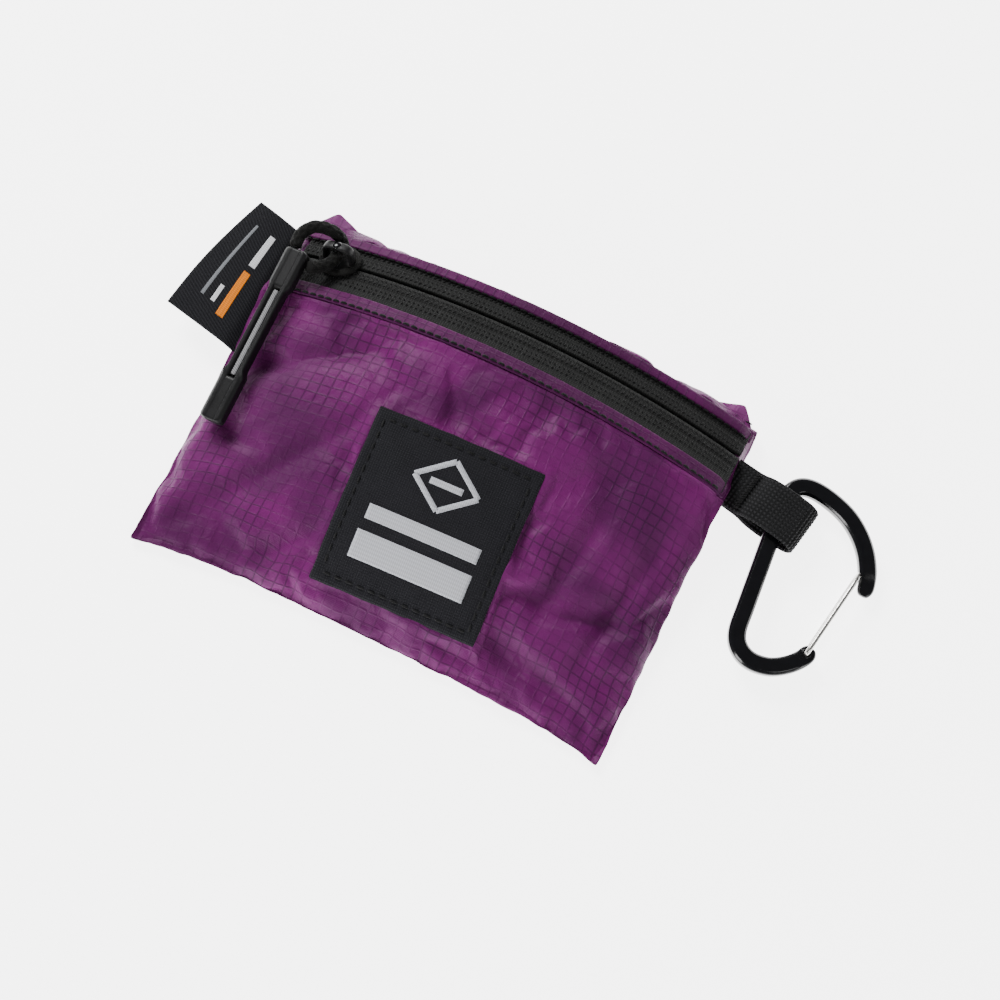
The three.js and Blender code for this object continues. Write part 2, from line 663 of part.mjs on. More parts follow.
const alongCoil = (across, angles, steps) => zipStrip(across, coilDepth, angles, steps);
const stopLeft = [-58.8, -57.3].map(zipAngle);
const stopRight = [57.3, 58.8].map(zipAngle);
add('zipper_coil_lower', alongCoil([-COIL.far, -COIL.near], coilAngles, 24), blackCoil);
add('zipper_coil_upper', alongCoil([COIL.near, COIL.far], coilAngles, 24), blackCoil);
add('zip_stop_left', alongCoil([-COIL.far, COIL.far], stopLeft, 2), blackMetal);
add('zip_stop_right', alongCoil([-COIL.far, COIL.far], stopRight, 2), blackMetal);

const stitchDepth = [hemDepth[1] + 0.3, hemDepth[1] + 0.6];
const stitchBelow = [-HEM_LOWER[1] + 0.5, -HEM_LOWER[1] + 1.1];
const stitchAbove = [HEM_UPPER[1] - 1.1, HEM_UPPER[1] - 0.5];
add('front_hem_topstitch', alongTape(stitchBelow, stitchDepth), blackThread);
add('back_hem_topstitch', alongTape(stitchAbove, stitchDepth), blackThread);

const sideStation = (x) => (t) => new THREE.Vector3(x, lerp(18, BOTTOM_Y + 4, t), 0);
const bottomStation = (t) => new THREE.Vector3(lerp(-54, 53, t), seamY(lerp(-54, 53, t)) + 2, 0);
const inwardX = new THREE.Vector3(3, 0, 0);
const inwardY = new THREE.Vector3(0, 3, 0);
add('left_seam_binding', seamBinding(sideStation(LEFT_X + 2), inwardX, 10), blackTape);
add('right_seam_binding', seamBinding(sideStation(RIGHT_X - 5), inwardX, 10), blackTape);
add('bottom_seam_binding', seamBinding(bottomStation, inwardY, 14), blackTape);
add('left_ear_stitch', box(3, 0.5, 0.3, -52.2, 46.9, 2.7), blackThread);
add('right_ear_stitch', box(3, 0.5, 0.3, 55.4, 46.9, 2.7), blackThread);

add('front_patch', patch(), blackWeave);
add('patch_stitching', patchStitching(), blackThread);
add('side_tag', sideTag(), blackWeave);
add('webbing_loop', webbingLoop(), blackWeave);
add('webbing_bartack', strapBartack(), blackThread);
add('carabiner_frame', carabinerFrame(), blackMetal);
add('wire_gate', wireGate(), steelWire);
add('slider_body', sliderBody(), blackMetal);
add('slider_bridge', sliderBridge(), blackMetal);
add('pull_cord', bar(cordRoute(), CORD_DIAMETER, 8, 32), blackWeave);
add('pull_grip', pullGrip(), blackRubber);
add('grip_inlay', gripInlay(), greyInlay);

export default group;
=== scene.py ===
"""Looks for a small zipped stuff sack: crumpled ripstop, zipper, slider and cord puller, patch, side tag,
webbing loop and mini carabiner. Lengths are in millimetres here, and become metres when a mesh is made."""

import json
import math

import bpy
import numpy as np
from mathutils import Matrix, Vector, noise


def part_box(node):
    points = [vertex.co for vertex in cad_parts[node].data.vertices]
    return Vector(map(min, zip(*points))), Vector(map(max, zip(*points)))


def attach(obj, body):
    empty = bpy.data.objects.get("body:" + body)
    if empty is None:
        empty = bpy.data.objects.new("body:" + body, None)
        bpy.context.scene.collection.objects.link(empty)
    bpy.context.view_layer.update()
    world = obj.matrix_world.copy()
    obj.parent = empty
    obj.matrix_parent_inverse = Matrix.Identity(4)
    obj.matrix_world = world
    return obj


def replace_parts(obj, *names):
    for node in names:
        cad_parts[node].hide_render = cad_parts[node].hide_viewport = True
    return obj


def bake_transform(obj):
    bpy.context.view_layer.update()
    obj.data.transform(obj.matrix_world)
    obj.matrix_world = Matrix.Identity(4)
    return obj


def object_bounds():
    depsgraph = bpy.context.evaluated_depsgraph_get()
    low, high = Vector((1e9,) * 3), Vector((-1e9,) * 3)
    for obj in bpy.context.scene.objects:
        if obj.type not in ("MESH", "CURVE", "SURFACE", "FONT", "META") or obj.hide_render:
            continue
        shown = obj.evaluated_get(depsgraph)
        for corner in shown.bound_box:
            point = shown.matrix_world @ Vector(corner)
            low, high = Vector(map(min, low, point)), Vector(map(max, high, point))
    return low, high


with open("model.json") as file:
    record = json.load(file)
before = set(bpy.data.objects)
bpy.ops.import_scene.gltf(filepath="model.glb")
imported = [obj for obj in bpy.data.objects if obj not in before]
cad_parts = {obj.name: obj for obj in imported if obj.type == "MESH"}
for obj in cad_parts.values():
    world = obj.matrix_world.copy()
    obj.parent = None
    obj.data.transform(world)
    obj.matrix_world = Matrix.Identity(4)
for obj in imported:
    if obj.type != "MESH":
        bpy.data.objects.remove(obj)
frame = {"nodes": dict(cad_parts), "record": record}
CAD_BOX = [list(corner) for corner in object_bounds()]
MM = 0.001


def cad_box(node):
    """Lowest and highest corner of a CAD node, in millimetres."""
    return [np.array(corner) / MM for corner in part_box(node)]


def joint(name):
    return next(j for j in frame["record"]["behaviour"]["joints"] if j["name"] == name)


# ---- camera, light and floor ----------------------------------------------------------------

AZIMUTH = math.radians(26.3)
ELEVATION = math.radians(75.0)
CAMERA_DISTANCE = 568
LOOK_OFFSET = (2.9, 0.05, -4.65)      # from the middle of the CAD box


def make_camera():
    back = Vector((
        math.sin(AZIMUTH) * math.cos(ELEVATION),
        -math.cos(AZIMUTH) * math.cos(ELEVATION),
        math.sin(ELEVATION),
    ))
    right = Vector((math.cos(AZIMUTH), math.sin(AZIMUTH), 0))
    up = back.cross(right)
    middle = (Vector(CAD_BOX[0]) + Vector(CAD_BOX[1])) / 2
    look = middle + Vector(LOOK_OFFSET) * MM
    data = bpy.data.cameras.new("camera")
    data.lens = 85
    data.sensor_width = 36
    data.clip_start = 0.01
    data.dof.use_dof = False
    camera = bpy.data.objects.new("camera", data)
    bpy.context.scene.collection.objects.link(camera)
    turn = Matrix((right, up, back)).transposed().to_4x4()
    camera.matrix_world = Matrix.Translation(look + back * CAMERA_DISTANCE * MM) @ turn
    bpy.context.scene.camera = camera


def make_light(name, place, size, power):
    """A square soft box that faces the middle of the object."""
    data = bpy.data.lights.new(name, "AREA")
    data.shape = "SQUARE"
    data.size = size
    data.energy = power
    light = bpy.data.objects.new(name, data)
    bpy.context.scene.collection.objects.link(light)
    light.location = place
    light.rotation_euler = Vector(place).to_track_quat("Z", "Y").to_euler()


def make_studio():
    make_light("key_light", (-0.55, 0.50, 0.55), 0.35, 11.0)
    make_light("low_light", (-0.28, -0.80, 0.30), 0.30, 5.0)
    make_light("side_light", (0.70, -0.35, 0.70), 0.45, 3.0)
    world = bpy.data.worlds.new("studio")
    world.use_nodes = True
    background = world.node_tree.nodes["Background"]
    background.inputs["Color"].default_value = (1, 1, 1, 1)
    background.inputs["Strength"].default_value = 0.22
    bpy.context.scene.world = world
    half = 4.0
    mesh = bpy.data.meshes.new("floor")
    corners = [(-half, -half, 0), (half, -half, 0), (half, half, 0), (-half, half, 0)]
    mesh.from_pydata(corners, [], [(0, 1, 2, 3)])
    floor = bpy.data.objects.new("floor", mesh)
    bpy.context.scene.collection.objects.link(floor)
    paint = Paint("floor_paint", Roughness=0.9, Emission_Strength=4.6)
    paint.shader.inputs["Emission Color"].default_value = (1, 1, 1, 1)
    tone = paint.noise(paint.place(), 3, 1)
    paint.colour(paint.mix(tone, (0.90, 0.90, 0.90), (0.93, 0.93, 0.93)))
    mesh.materials.append(paint.material)


# ---- materials ------------------------------------------------------------------------------

class Paint:
    """A material made of nodes. Its constants are set on the shader's own sockets."""

    def __init__(self, name, **constants):
        self.material = bpy.data.materials.new(name)
        self.material.use_nodes = True
        self.tree = self.material.node_tree
        self.tree.nodes.clear()
        output = self.tree.nodes.new("ShaderNodeOutputMaterial")
        self.shader = self.tree.nodes.new("ShaderNodeBsdfPrincipled")
        self.tree.links.new(self.shader.outputs[0], output.inputs[0])
        for key, value in constants.items():
            self.shader.inputs[key.replace("_", " ").title().replace("Ior", "IOR")].default_value = value

    def feed(self, socket, value):
        """Links another node's output to a socket, or sets a constant on it."""
        if isinstance(value, bpy.types.NodeSocket):
            self.tree.links.new(value, socket)
        elif isinstance(value, tuple) and len(value) == 3 and socket.type == "RGBA":
            socket.default_value = (*value, 1)
        else:
            socket.default_value = value

    def node(self, kind, output, inputs, **settings):
        """One output of a new node that has these settings and inputs."""
        made = self.tree.nodes.new("ShaderNode" + kind)
        for key, value in settings.items():
            setattr(made, key, value)
        for key, value in inputs.items():
            self.feed(made.inputs[key], value)
        return made.outputs[output]

    def place(self):
        """The point's own coordinates, in metres."""
        return self.node("TexCoord", "Object", {})

    def millimetres(self):
        """The point's own coordinates, in millimetres."""
        return self.scaled(self.place(), (1 / MM, 1 / MM, 1 / MM))

    def flat(self):
        """The point's place on the flat cloth, in millimetres; on the ripstop its third part is the share
        of painted through-light.
        """
        return self.node("Attribute", "Vector", {}, attribute_name="flat")

    def parts(self, vector):
        node = self.tree.nodes.new("ShaderNodeSeparateXYZ")
        self.feed(node.inputs[0], vector)
        return node.outputs[0], node.outputs[1], node.outputs[2]

    def sum(self, kind, a, b=0.0, c=0.0):
        return self.node("Math", 0, {0: a, 1: b, 2: c}, operation=kind)

    def scaled(self, vector, scale):
        return self.node("Mapping", 0, {"Vector": vector, "Scale": scale})

    def noise(self, vector, scale, detail=2.0, distortion=0.0):
        inputs = {"Vector": vector, "Scale": scale, "Detail": detail, "Distortion": distortion}
        return self.node("TexNoise", 0, inputs)

    def cells(self, vector, scale):
        """Distance to the edges of an irregular net, for creases."""
        inputs = {"Vector": vector, "Scale": scale}
        return self.node("TexVoronoi", "Distance", inputs, feature="DISTANCE_TO_EDGE")

    def step(self, value, low, high, start=0.0, end=1.0):
        """start below low, end above high, and smooth between them."""
        inputs = {"Value": value, "From Min": low, "From Max": high, "To Min": start, "To Max": end}
        return self.node("MapRange", 0, inputs, interpolation_type="SMOOTHSTEP")

    def mix(self, factor, a, b):
        return self.node("Mix", 2, {0: factor, 6: a, 7: b}, data_type="RGBA")

    def bump(self, height, distance, under=None):
        """Turns a height, 0 to 1, into a normal. distance is in millimetres."""
        inputs = {"Distance": distance * MM, "Height": height}
        if under is not None:
            inputs["Normal"] = under
        return self.node("Bump", 0, inputs)

    def ribs(self, value, pitch):
        """0 to 1 and back again once in each pitch."""
        swing = self.sum("SINE", self.sum("MULTIPLY", value, 2 * math.pi / pitch))
        return self.sum("MULTIPLY_ADD", swing, 0.5, 0.5)

    def line(self, value, pitch, half_width):
        """1 on lines that repeat at the pitch, and 0 between them."""
        off = self.sum("PINGPONG", value, pitch / 2)
        return self.step(off, half_width * 0.6, half_width * 1.6, 1.0, 0.0)

    def colour(self, value):
        self.feed(self.shader.inputs["Base Color"], value)

    def roughness(self, value):
        self.feed(self.shader.inputs["Roughness"], value)

    def normal(self, value):
        self.feed(self.shader.inputs["Normal"], value)

    def finish(self, tone, dark, light, relief, depth, wear, rough):
        """Colour from dark to light by tone, a bump by relief, and roughness by wear."""
        self.colour(self.mix(tone, dark, light))
        self.normal(self.bump(relief, depth))
        self.roughness(self.step(wear, *rough))
        return self.material


RIPSTOP_PITCH = 2.6
RIPSTOP_LINE = 0.17       # half the width of its thicker threads
RIPSTOP_TONES = (0.068, 0.0036, 0.057), (0.146, 0.0085, 0.116)


def ripstop(name, depth):
    """Thin purple nylon: a grid of thicker threads, clouds of light and dark, fine creases.
    depth scales its tone and shine; below 1 it gives a darker, duller copy, painted shade on the cloth
    that is folded in several layers at the hems and end folds."""
    paint = Paint(name, Sheen_Weight=0.03 * depth, Sheen_Roughness=0.4, Specular_IOR_Level=0.16 * depth)
    paint.shader.inputs["Sheen Tint"].default_value = (0.8, 0.25, 0.75, 1)
    flat = paint.flat()
    # the third part of flat is the share of painted light that shines through a single sheer layer
    x, y, thin_through_light = paint.parts(flat)
    plane = paint.scaled(flat, (1, 1, 0))
    drift = paint.sum("MULTIPLY_ADD", paint.noise(plane, 0.07, 1), 1.6, -0.8)
    lines = [paint.line(paint.sum("ADD", c, drift), RIPSTOP_PITCH, RIPSTOP_LINE) for c in (x, y)]
    grid = paint.sum("MAXIMUM", *lines)
    fading = paint.step(paint.noise(plane, 0.045, 1), 0.38, 0.62, 0.08, 0.95)
    clouds = paint.step(paint.noise(plane, 0.04, 3, 0.5), 0.32, 0.68)
    specks = paint.noise(plane, 1.5, 2)
    # depth below 1 darkens both tones: painted shade
    body = paint.mix(clouds, *[tuple(depth * c for c in tone) for tone in RIPSTOP_TONES])
    body = paint.mix(paint.sum("MULTIPLY", specks, 0.12), body, (0.17, 0.03, 0.15))
    threads = paint.sum("MULTIPLY", paint.sum("MULTIPLY", grid, fading), 0.5)
    body = paint.mix(threads, body, (0.014, 0.002, 0.018))
    # Painted light: by that share the colour is mixed towards a pale lilac, as if light shone through the
    # cloth.
    paint.colour(paint.mix(thin_through_light, body, (0.30, 0.08, 0.26)))
    creases = paint.step(paint.cells(paint.scaled(flat, (1, 0.6, 0)), 0.13), 0.0, 0.35)
    soft = paint.noise(plane, 0.22, 3, 0.6)
    weave = paint.sum("MULTIPLY", paint.ribs(x, 0.34), paint.ribs(y, 0.34))
    normal = paint.bump(creases, 0.07)
    normal = paint.bump(soft, 0.45, normal)
    normal = paint.bump(weave, 0.03, normal)
    paint.normal(paint.bump(grid, 0.05, normal))
    paint.roughness(paint.step(clouds, 0.0, 1.0, 0.52, 0.42))
    return paint.material


def knit(name, dark, light, pitch_x, pitch_y, depth, fuzzy=0.4):
    """A black woven or knitted cloth with ribs both ways. fuzzy is how far loose fibres hide the ribs."""
    paint = Paint(name, Sheen_Weight=0.02, Sheen_Roughness=0.5, Specular_IOR_Level=0.12)
    flat = paint.flat()
    x, y, _ = paint.parts(flat)
    cross = paint.sum("MULTIPLY", paint.ribs(x, pitch_x), paint.ribs(y, pitch_y))
    fuzz = paint.noise(flat, 3.0, 3)
    wear = paint.noise(flat, 0.12, 3)
    # The colour follows the ribs, lighter on their raised crossings and darker between them: partly the
    # yarn's own pattern, partly painted highlight and painted shade.
    tone = paint.sum("MULTIPLY_ADD", cross, 1 - fuzzy, paint.sum("MULTIPLY", fuzz, fuzzy))
    body = paint.mix(tone, dark, light)
    paint.colour(paint.mix(paint.sum("MULTIPLY", wear, 0.3), body, tuple(1.5 * c for c in light)))
    paint.normal(paint.bump(fuzz, depth * 0.5, paint.bump(cross, depth)))
    paint.roughness(paint.step(fuzz, 0.3, 0.7, 0.95, 0.78))
    return paint.material


def twill(name, dark, light):
    """Black ribbon with fine diagonal ribs."""
    paint = Paint(name, Sheen_Weight=0.02, Sheen_Roughness=0.5, Specular_IOR_Level=0.15)
    flat = paint.flat()
    x, y, _ = paint.parts(flat)
    diagonal = paint.ribs(paint.sum("MULTIPLY_ADD", x, 0.45, y), 0.85)
    threads = paint.ribs(x, 0.42)
    fuzz = paint.noise(flat, 2.5, 3)
    tone = paint.sum("MULTIPLY_ADD", diagonal, 0.55, paint.sum("MULTIPLY", fuzz, 0.45))
    paint.colour(paint.mix(tone, dark, light))
    normal = paint.bump(diagonal, 0.12)
    paint.normal(paint.bump(threads, 0.03, normal))
    paint.roughness(paint.step(fuzz, 0.3, 0.7, 0.9, 0.7))
    return paint.material


def thread():
    """Twisted black polyester."""
    paint = Paint("black_thread", Sheen_Weight=0.02, Specular_IOR_Level=0.2)
    x, y, z = paint.parts(paint.millimetres())
    twist = paint.ribs(paint.sum("ADD", paint.sum("ADD", x, y), paint.sum("MULTIPLY", z, 1.3)), 0.34)
    dark, light = (0.002, 0.002, 0.002), (0.010, 0.010, 0.011)
    return paint.finish(twist, dark, light, twist, 0.06, twist, (0.0, 1.0, 0.8, 0.55))


def gloss_metal():
    """Black coat on metal, with faint handling marks and a slightly uneven gloss."""
    paint = Paint("black_gloss_metal", Specular_IOR_Level=0.32, Coat_Weight=0.10, Coat_Roughness=0.08)
    place = paint.millimetres()
    cloud = paint.noise(place, 0.35, 3)
    marks = paint.noise(paint.scaled(place, (0.4, 2.5, 1)), 1.6, 4, 0.5)
    dark, light = (0.0015, 0.0015, 0.002), (0.005, 0.005, 0.007)
    return paint.finish(cloud, dark, light, marks, 0.012, marks, (0.35, 0.75, 0.14, 0.26))


def satin_metal():
    """Worn satin black on the slider's cast body."""
    paint = Paint("black_satin_metal", Specular_IOR_Level=0.22)
    grain = paint.noise(paint.millimetres(), 2.2, 4, 0.4)
    dark, light = (0.0015, 0.0015, 0.0018), (0.008, 0.008, 0.0085)
    return paint.finish(grain, dark, light, grain, 0.06, grain, (0.3, 0.7, 0.58, 0.40))


def steel():
    """Bright drawn spring wire."""
    paint = Paint("spring_steel", Metallic=1.0)
    drawn = paint.noise(paint.scaled(paint.millimetres(), (2, 0.25, 2)), 3.0, 3)
    dark, light = (0.52, 0.51, 0.49), (0.80, 0.79, 0.76)
    return paint.finish(drawn, dark, light, drawn, 0.01, drawn, (0.3, 0.7, 0.18, 0.34))


def moulded():
    """Satin black plastic with a fine moulded grain."""
    paint = Paint("moulded_black", Specular_IOR_Level=0.22)
    place = paint.millimetres()
    grain = paint.noise(place, 4.0, 3)
    wear = paint.noise(place, 0.3, 3)
    body = paint.mix(wear, (0.003, 0.003, 0.0035), (0.009, 0.009, 0.0095))
    paint.colour(paint.mix(paint.sum("MULTIPLY", grain, 0.15), body, (0.02, 0.02, 0.021)))
    paint.roughness(paint.step(wear, 0.3, 0.7, 0.50, 0.38))
    paint.normal(paint.bump(grain, 0.03))
    return paint.material


def grey_strip():
    """Light grey woven strip in the grip's channel."""
    paint = Paint("grey_strip", Sheen_Weight=0.03, Specular_IOR_Level=0.3)
    place = paint.millimetres()
    x, y, _ = paint.parts(place)
    rib = paint.ribs(paint.sum("MULTIPLY_ADD", x, 0.5, y), 0.55)
    dust = paint.noise(place, 1.2, 3)
    dark, light = (0.13, 0.13, 0.135), (0.30, 0.30, 0.31)
    return paint.finish(rib, dark, light, rib, 0.07, dust, (0.3, 0.7, 0.7, 0.45))


def woven_yarn(name, colour):
    """Coloured yarn woven into a label."""
    paint = Paint(name, Sheen_Weight=0.02, Specular_IOR_Level=0.2)
    x, y, _ = paint.parts(paint.flat())
    rows = paint.ribs(x, 0.5)
    columns = paint.ribs(y, 0.9)
    along = paint.sum("MULTIPLY_ADD", rows, 0.5, 0.5)
    across = paint.sum("MULTIPLY_ADD", columns, 0.3, 0.7)
    tone = paint.sum("MULTIPLY", along, across)
    dark = tuple(0.45 * c for c in colour)
    return paint.finish(tone, dark, colour, rows, 0.05, columns, (0, 1, 0.8, 0.6))


def nylon_coil():
    """Black nylon of the hidden coils, ribbed at the pitch of the teeth."""
    paint = Paint("nylon_coil")
    place = paint.millimetres()
    teeth = paint.ribs(paint.parts(place)[0], 1.2)
    haze = paint.noise(place, 0.8, 2)
    dark, light = (0.004, 0.004, 0.004), (0.018, 0.018, 0.019)
    return paint.finish(teeth, dark, light, teeth, 0.3, haze, (0.3, 0.7, 0.5, 0.3))


def binding_tape():
    """Thin black binding tape, woven."""
    paint = Paint("binding_tape", Sheen_Weight=0.02, Specular_IOR_Level=0.15)
    place = paint.millimetres()
    x, y, _ = paint.parts(place)
    cross = paint.sum("MULTIPLY", paint.ribs(x, 0.7), paint.ribs(y, 0.7))
    dark, light = (0.004, 0.004, 0.004), (0.016, 0.016, 0.017)
    return paint.finish(cross, dark, light, cross, 0.08, paint.noise(place, 1.0), (0.3, 0.7, 0.9, 0.75))


# ---- meshes ---------------------------------------------------------------------------------

PAINTS = {}


def piece(name, points, faces, paint, body, slot, flat=None, thickness=0.0, subdivide=0):
    """A mesh of points, in millimetres, that rides on a body.
    flat holds the points' places on flat cloth; on the ripstop its third part is the share of painted
    through-light."""
    mesh = bpy.data.meshes.new(name)
    mesh.from_pydata([tuple(c * MM for c in p) for p in points], [], [tuple(f) for f in faces])
    mesh.validate()
    mesh.update()
    if flat is not None:
        layer = mesh.attributes.new("flat", "FLOAT_VECTOR", "POINT")
        layer.data.foreach_set("vector", np.array(flat, dtype=np.float32).ravel())
    mesh.shade_smooth()
    mesh.materials.append(PAINTS[paint])
    made = bpy.data.objects.new(name, mesh)
    bpy.context.scene.collection.objects.link(made)
    if thickness:
        wall = made.modifiers.new("thickness", "SOLIDIFY")
        wall.thickness = thickness * MM
        wall.offset = -1
    if subdivide:
        fine = made.modifiers.new("fine", "SUBSURF")
        fine.levels = subdivide
        fine.render_levels = subdivide
    if body:
        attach(made, body)
    return made


def grid_faces(columns, rows, wrap=False):
    """Quads between columns of rows points each.
    wrap joins the last point of each column to its first."""
    faces = []
    last = rows if wrap else rows - 1
    for i in range(columns - 1):
        for j in range(last):
            k = (j + 1) % rows
            faces.append((i * rows + j, (i + 1) * rows + j, (i + 1) * rows + k, i * rows + k))
    return faces


def lattice(columns, rows):
    """The share across and the share up of each point of a grid, in the order that grid_faces has."""
    return [(i / (columns - 1), j / (rows - 1)) for i in range(columns) for j in range(rows)]


def flipped(faces):
    return [f[::-1] for f in faces]


def unit(v):
    return v / np.linalg.norm(v)


def distances(line):
    """How far along a line each of its points is."""
    return np.concatenate([[0], np.cumsum(np.linalg.norm(np.diff(line, axis=0), axis=1))])


def ring(p, side, top, wide, high, count, swell=lambda turn: 1.0):
    """Points round p, wide along side and high along top. swell scales each one."""
    turns = [2 * math.pi * k / count for k in range(count)]
    return [p + swell(a) * (wide * math.cos(a) * side + high * math.sin(a) * top) for a in turns]


def tube_mesh(rings, capped=True):
    """Points and faces of a sweep through closed rings, with its two ends closed."""
    size = len(rings[0])
    points = [p for outline in rings for p in outline]
    faces = grid_faces(len(rings), size, wrap=True)
    if capped:
        faces.append(tuple(range(size)))
        faces.append(tuple((len(rings) - 1) * size + j for j in reversed(range(size))))
    return points, faces


def joined(parts):
    """One list of points and one of faces from several."""
    points, faces = [], []
    for part_points, part_faces in parts:
        start = len(points)
        points += list(part_points)
        faces += [tuple(start + i for i in f) for f in part_faces]
    return points, faces


def catmull(points, steps, tension=0.5):
    """Points along a smooth curve through the given ones, as many steps for each stretch."""
    p = [np.array(q, dtype=float) for q in points]
    p = [2 * p[0] - p[1], *p, 2 * p[-1] - p[-2]]
    out = []
    for i in range(1, len(p) - 2):
        a, b = tension * (p[i + 1] - p[i - 1]), tension * (p[i + 2] - p[i])
        for k in range(steps):
            t = k / steps
            out.append(
                (2 * t**3 - 3 * t**2 + 1) * p[i] + (t**3 - 2 * t**2 + t) * a
                + (-2 * t**3 + 3 * t**2) * p[i + 1] + (t**3 - t**2) * b
            )
    out.append(p[-2])
    return out


def even(points, gap):
    """The same line with points an even distance apart."""
    p = np.array(points)
    along = distances(p)
    count = max(2, int(round(along[-1] / gap)) + 1)
    where = np.linspace(0, along[-1], count)
    return np.stack([np.interp(where, along, p[:, k]) for k in range(3)], axis=1)


def frames_along(points, up):
    """Tangent, side and top at each point of a line, with the side kept square to up."""
    p = np.array(points)
    tangents = np.gradient(p, axis=0)
    tangents /= np.linalg.norm(tangents, axis=1)[:, None]
    side = np.cross(up, tangents)
    side /= np.linalg.norm(side, axis=1)[:, None]
    return tangents, side, np.cross(tangents, side)


def smoothstep(value, low, high):
    t = min(1.0, max(0.0, (value - low) / (high - low)))
    return t * t * (3 - 2 * t)


def lerp(a, b, t):
    return a + (b - a) * t


def squared(value, power):
    """A sine or cosine pushed out towards 1 or -1, which squares off a round outline."""
    return math.copysign(abs(value) ** power, value)


def turned(a, b, angle):
    """Two coordinates turned in their plane."""
    cos, sin = math.cos(angle), math.sin(angle)
    return a * cos - b * sin, a * sin + b * cos


def wander(x, y, seed):
    """A gentle random wave, the same on each run."""
    return noise.noise(Vector((x, y, seed)))


# ---- the shapes that the CAD model settles --------------------------------------------------

GAP = 0.35
FRONT_LOW, FRONT_HIGH = cad_box("front_panel")
LEFT_X = float(FRONT_LOW[0]) + 1.2
RIGHT_X = float(FRONT_HIGH[0])
BOTTOM_Y = -43.3
CORNER_DROOP = 3.2
SEAM_Z = 2.6
CROWN_Z = 20.2
FOLD_Y = 46.4
TURN_AT = 0.72            # share of the back's length at which it turns up behind the zipper
REST_HALF = (50, 34)
SIDE_HALF = 62.5

ZIP = joint("zip_travel")
ALONG = np.array([1.0, 0, 0])
ACROSS = np.array(ZIP["axis"])
OUT = np.cross(ALONG, ACROSS)
ZIP_CENTRE = np.array(ZIP["pos_m"]) / MM
ZIP_RADIUS = 200
TAPE_LOW, TAPE_HIGH = cad_box("zipper_tape_lower")
TAPE_ENDS = (float(TAPE_LOW[0]), float(TAPE_HIGH[0]))
HEM_LOWER = (8.8, 12.6)
HEM_UPPER = (5.5, 7.9)
SLIDER_X = -48.6
PATCH_CENTRE = (0.8, -14.6)
PATCH_TURN = math.radians(2.6)
PATCH_SIZE = 43


def zip_point(angle, across, out):
    """A point near the zipper: along its arc, across it towards the back, and out of it."""
    reach = ZIP_RADIUS + out
    return ZIP_CENTRE + across * ACROSS + reach * math.sin(angle) * ALONG + reach * math.cos(angle) * OUT


def zip_angle(x):
    return math.asin((x - ZIP_CENTRE[0]) / ZIP_RADIUS)


def zip_edge(x, across, out):
    """A point of the zipper's arc over x, level beyond the ends of the tapes."""
    point = zip_point(zip_angle(min(TAPE_ENDS[1], max(TAPE_ENDS[0], x))), across, out)
    point[0] = x
    return point


def side_x(u, b):
    return lerp(LEFT_X - 1.2 * (1 - b) ** 3, RIGHT_X, u)


def seam_y(x):
    return BOTTOM_Y - CORNER_DROOP * ((x + 1) / 62) ** 4


def hem_edge(x):
    return zip_edge(x, -(HEM_LOWER[1] + 0.3), 0)


SIDE_TOP = hem_edge(LEFT_X)


def seam_z(b):
    return lerp(SEAM_Z, SIDE_TOP[2], b ** 1.6)


def front_point(u, b):
    """The front's smooth shape. u runs from the left seam to the right, b from the bottom to the hem."""
    x = side_x(u, b)
    hem = hem_edge(x)
    over = max(0.0, 1 - (2 * u - 1) ** 2) ** lerp(0.6, 1, b)
    crown = SEAM_Z + (CROWN_Z - SEAM_Z) * (1 - (1 - b) ** 2.1) ** 0.85
    lift = max(0.0, crown - seam_z(b)) * over
    fit = hem[2] - SIDE_TOP[2] - (CROWN_Z - SIDE_TOP[2]) * over
    return np.array([x, lerp(seam_y(x), hem[1], b), seam_z(b) + lift + fit * b**4])


def back_z(x, y):
    """Height of the back, flat where it rests and raised towards the seams."""
    side = smoothstep(abs(x), REST_HALF[0], SIDE_HALF)
    bottom = 1 - smoothstep(y, BOTTOM_Y - 2, -REST_HALF[1])
    b = min(1.0, max(0.0, (y - BOTTOM_Y) / (SIDE_TOP[1] - BOTTOM_Y)))
    past_hem = max(0.0, y - SIDE_TOP[1])
    seam = seam_z(b) - 3.3 - past_hem * 0.62
    return max(max(0.4, seam) * side, 0.4 * bottom)


def back_point(u, v):
    """The back's smooth shape, under the pouch and then, past TURN_AT, up behind the zipper."""
    start_y = REST_HALF[1] + 4
    flat = min(v / TURN_AT, 1)
    x = side_x(u, flat)
    y = lerp(seam_y(x), start_y, flat)
    if v <= TURN_AT:
        return np.array([x, y, back_z(x, y)])
    turn = (v - TURN_AT) / (1 - TURN_AT) * math.pi
    top = zip_edge(x, HEM_UPPER[1] + 0.3, -0.15)
    side = smoothstep(abs(x), REST_HALF[0], SIDE_HALF)
    reach = lerp(FOLD_Y + 1.1 * wander(x * 0.09, 0, 91.0), top[1] + 1.2, side)
    begin = start_y if turn < math.pi / 2 else top[1]
    return np.array([
        x,
        lerp(begin, reach, math.sin(turn)),
        lerp(back_z(x, start_y), top[2], (1 - math.cos(turn)) / 2),
    ])


def front_share(x, y):
    """Where a point lies on the front: across it, and up it from the bottom seam."""
    b = (y - seam_y(x)) / (hem_edge(x)[1] - seam_y(x))
    return (x - side_x(0, b)) / (side_x(1, b) - side_x(0, b)), b


def over_front(x, y, height):
    """A point at a height over the front's smooth shape."""
    u, b = front_share(x, y)
    step = 1e-3
    along_u = front_point(u + step, b) - front_point(u - step, b)
    along_b = front_point(u, b + step) - front_point(u, b - step)
    normal = np.cross(along_u, along_b)
    return front_point(u, b) + normal / np.linalg.norm(normal) * height


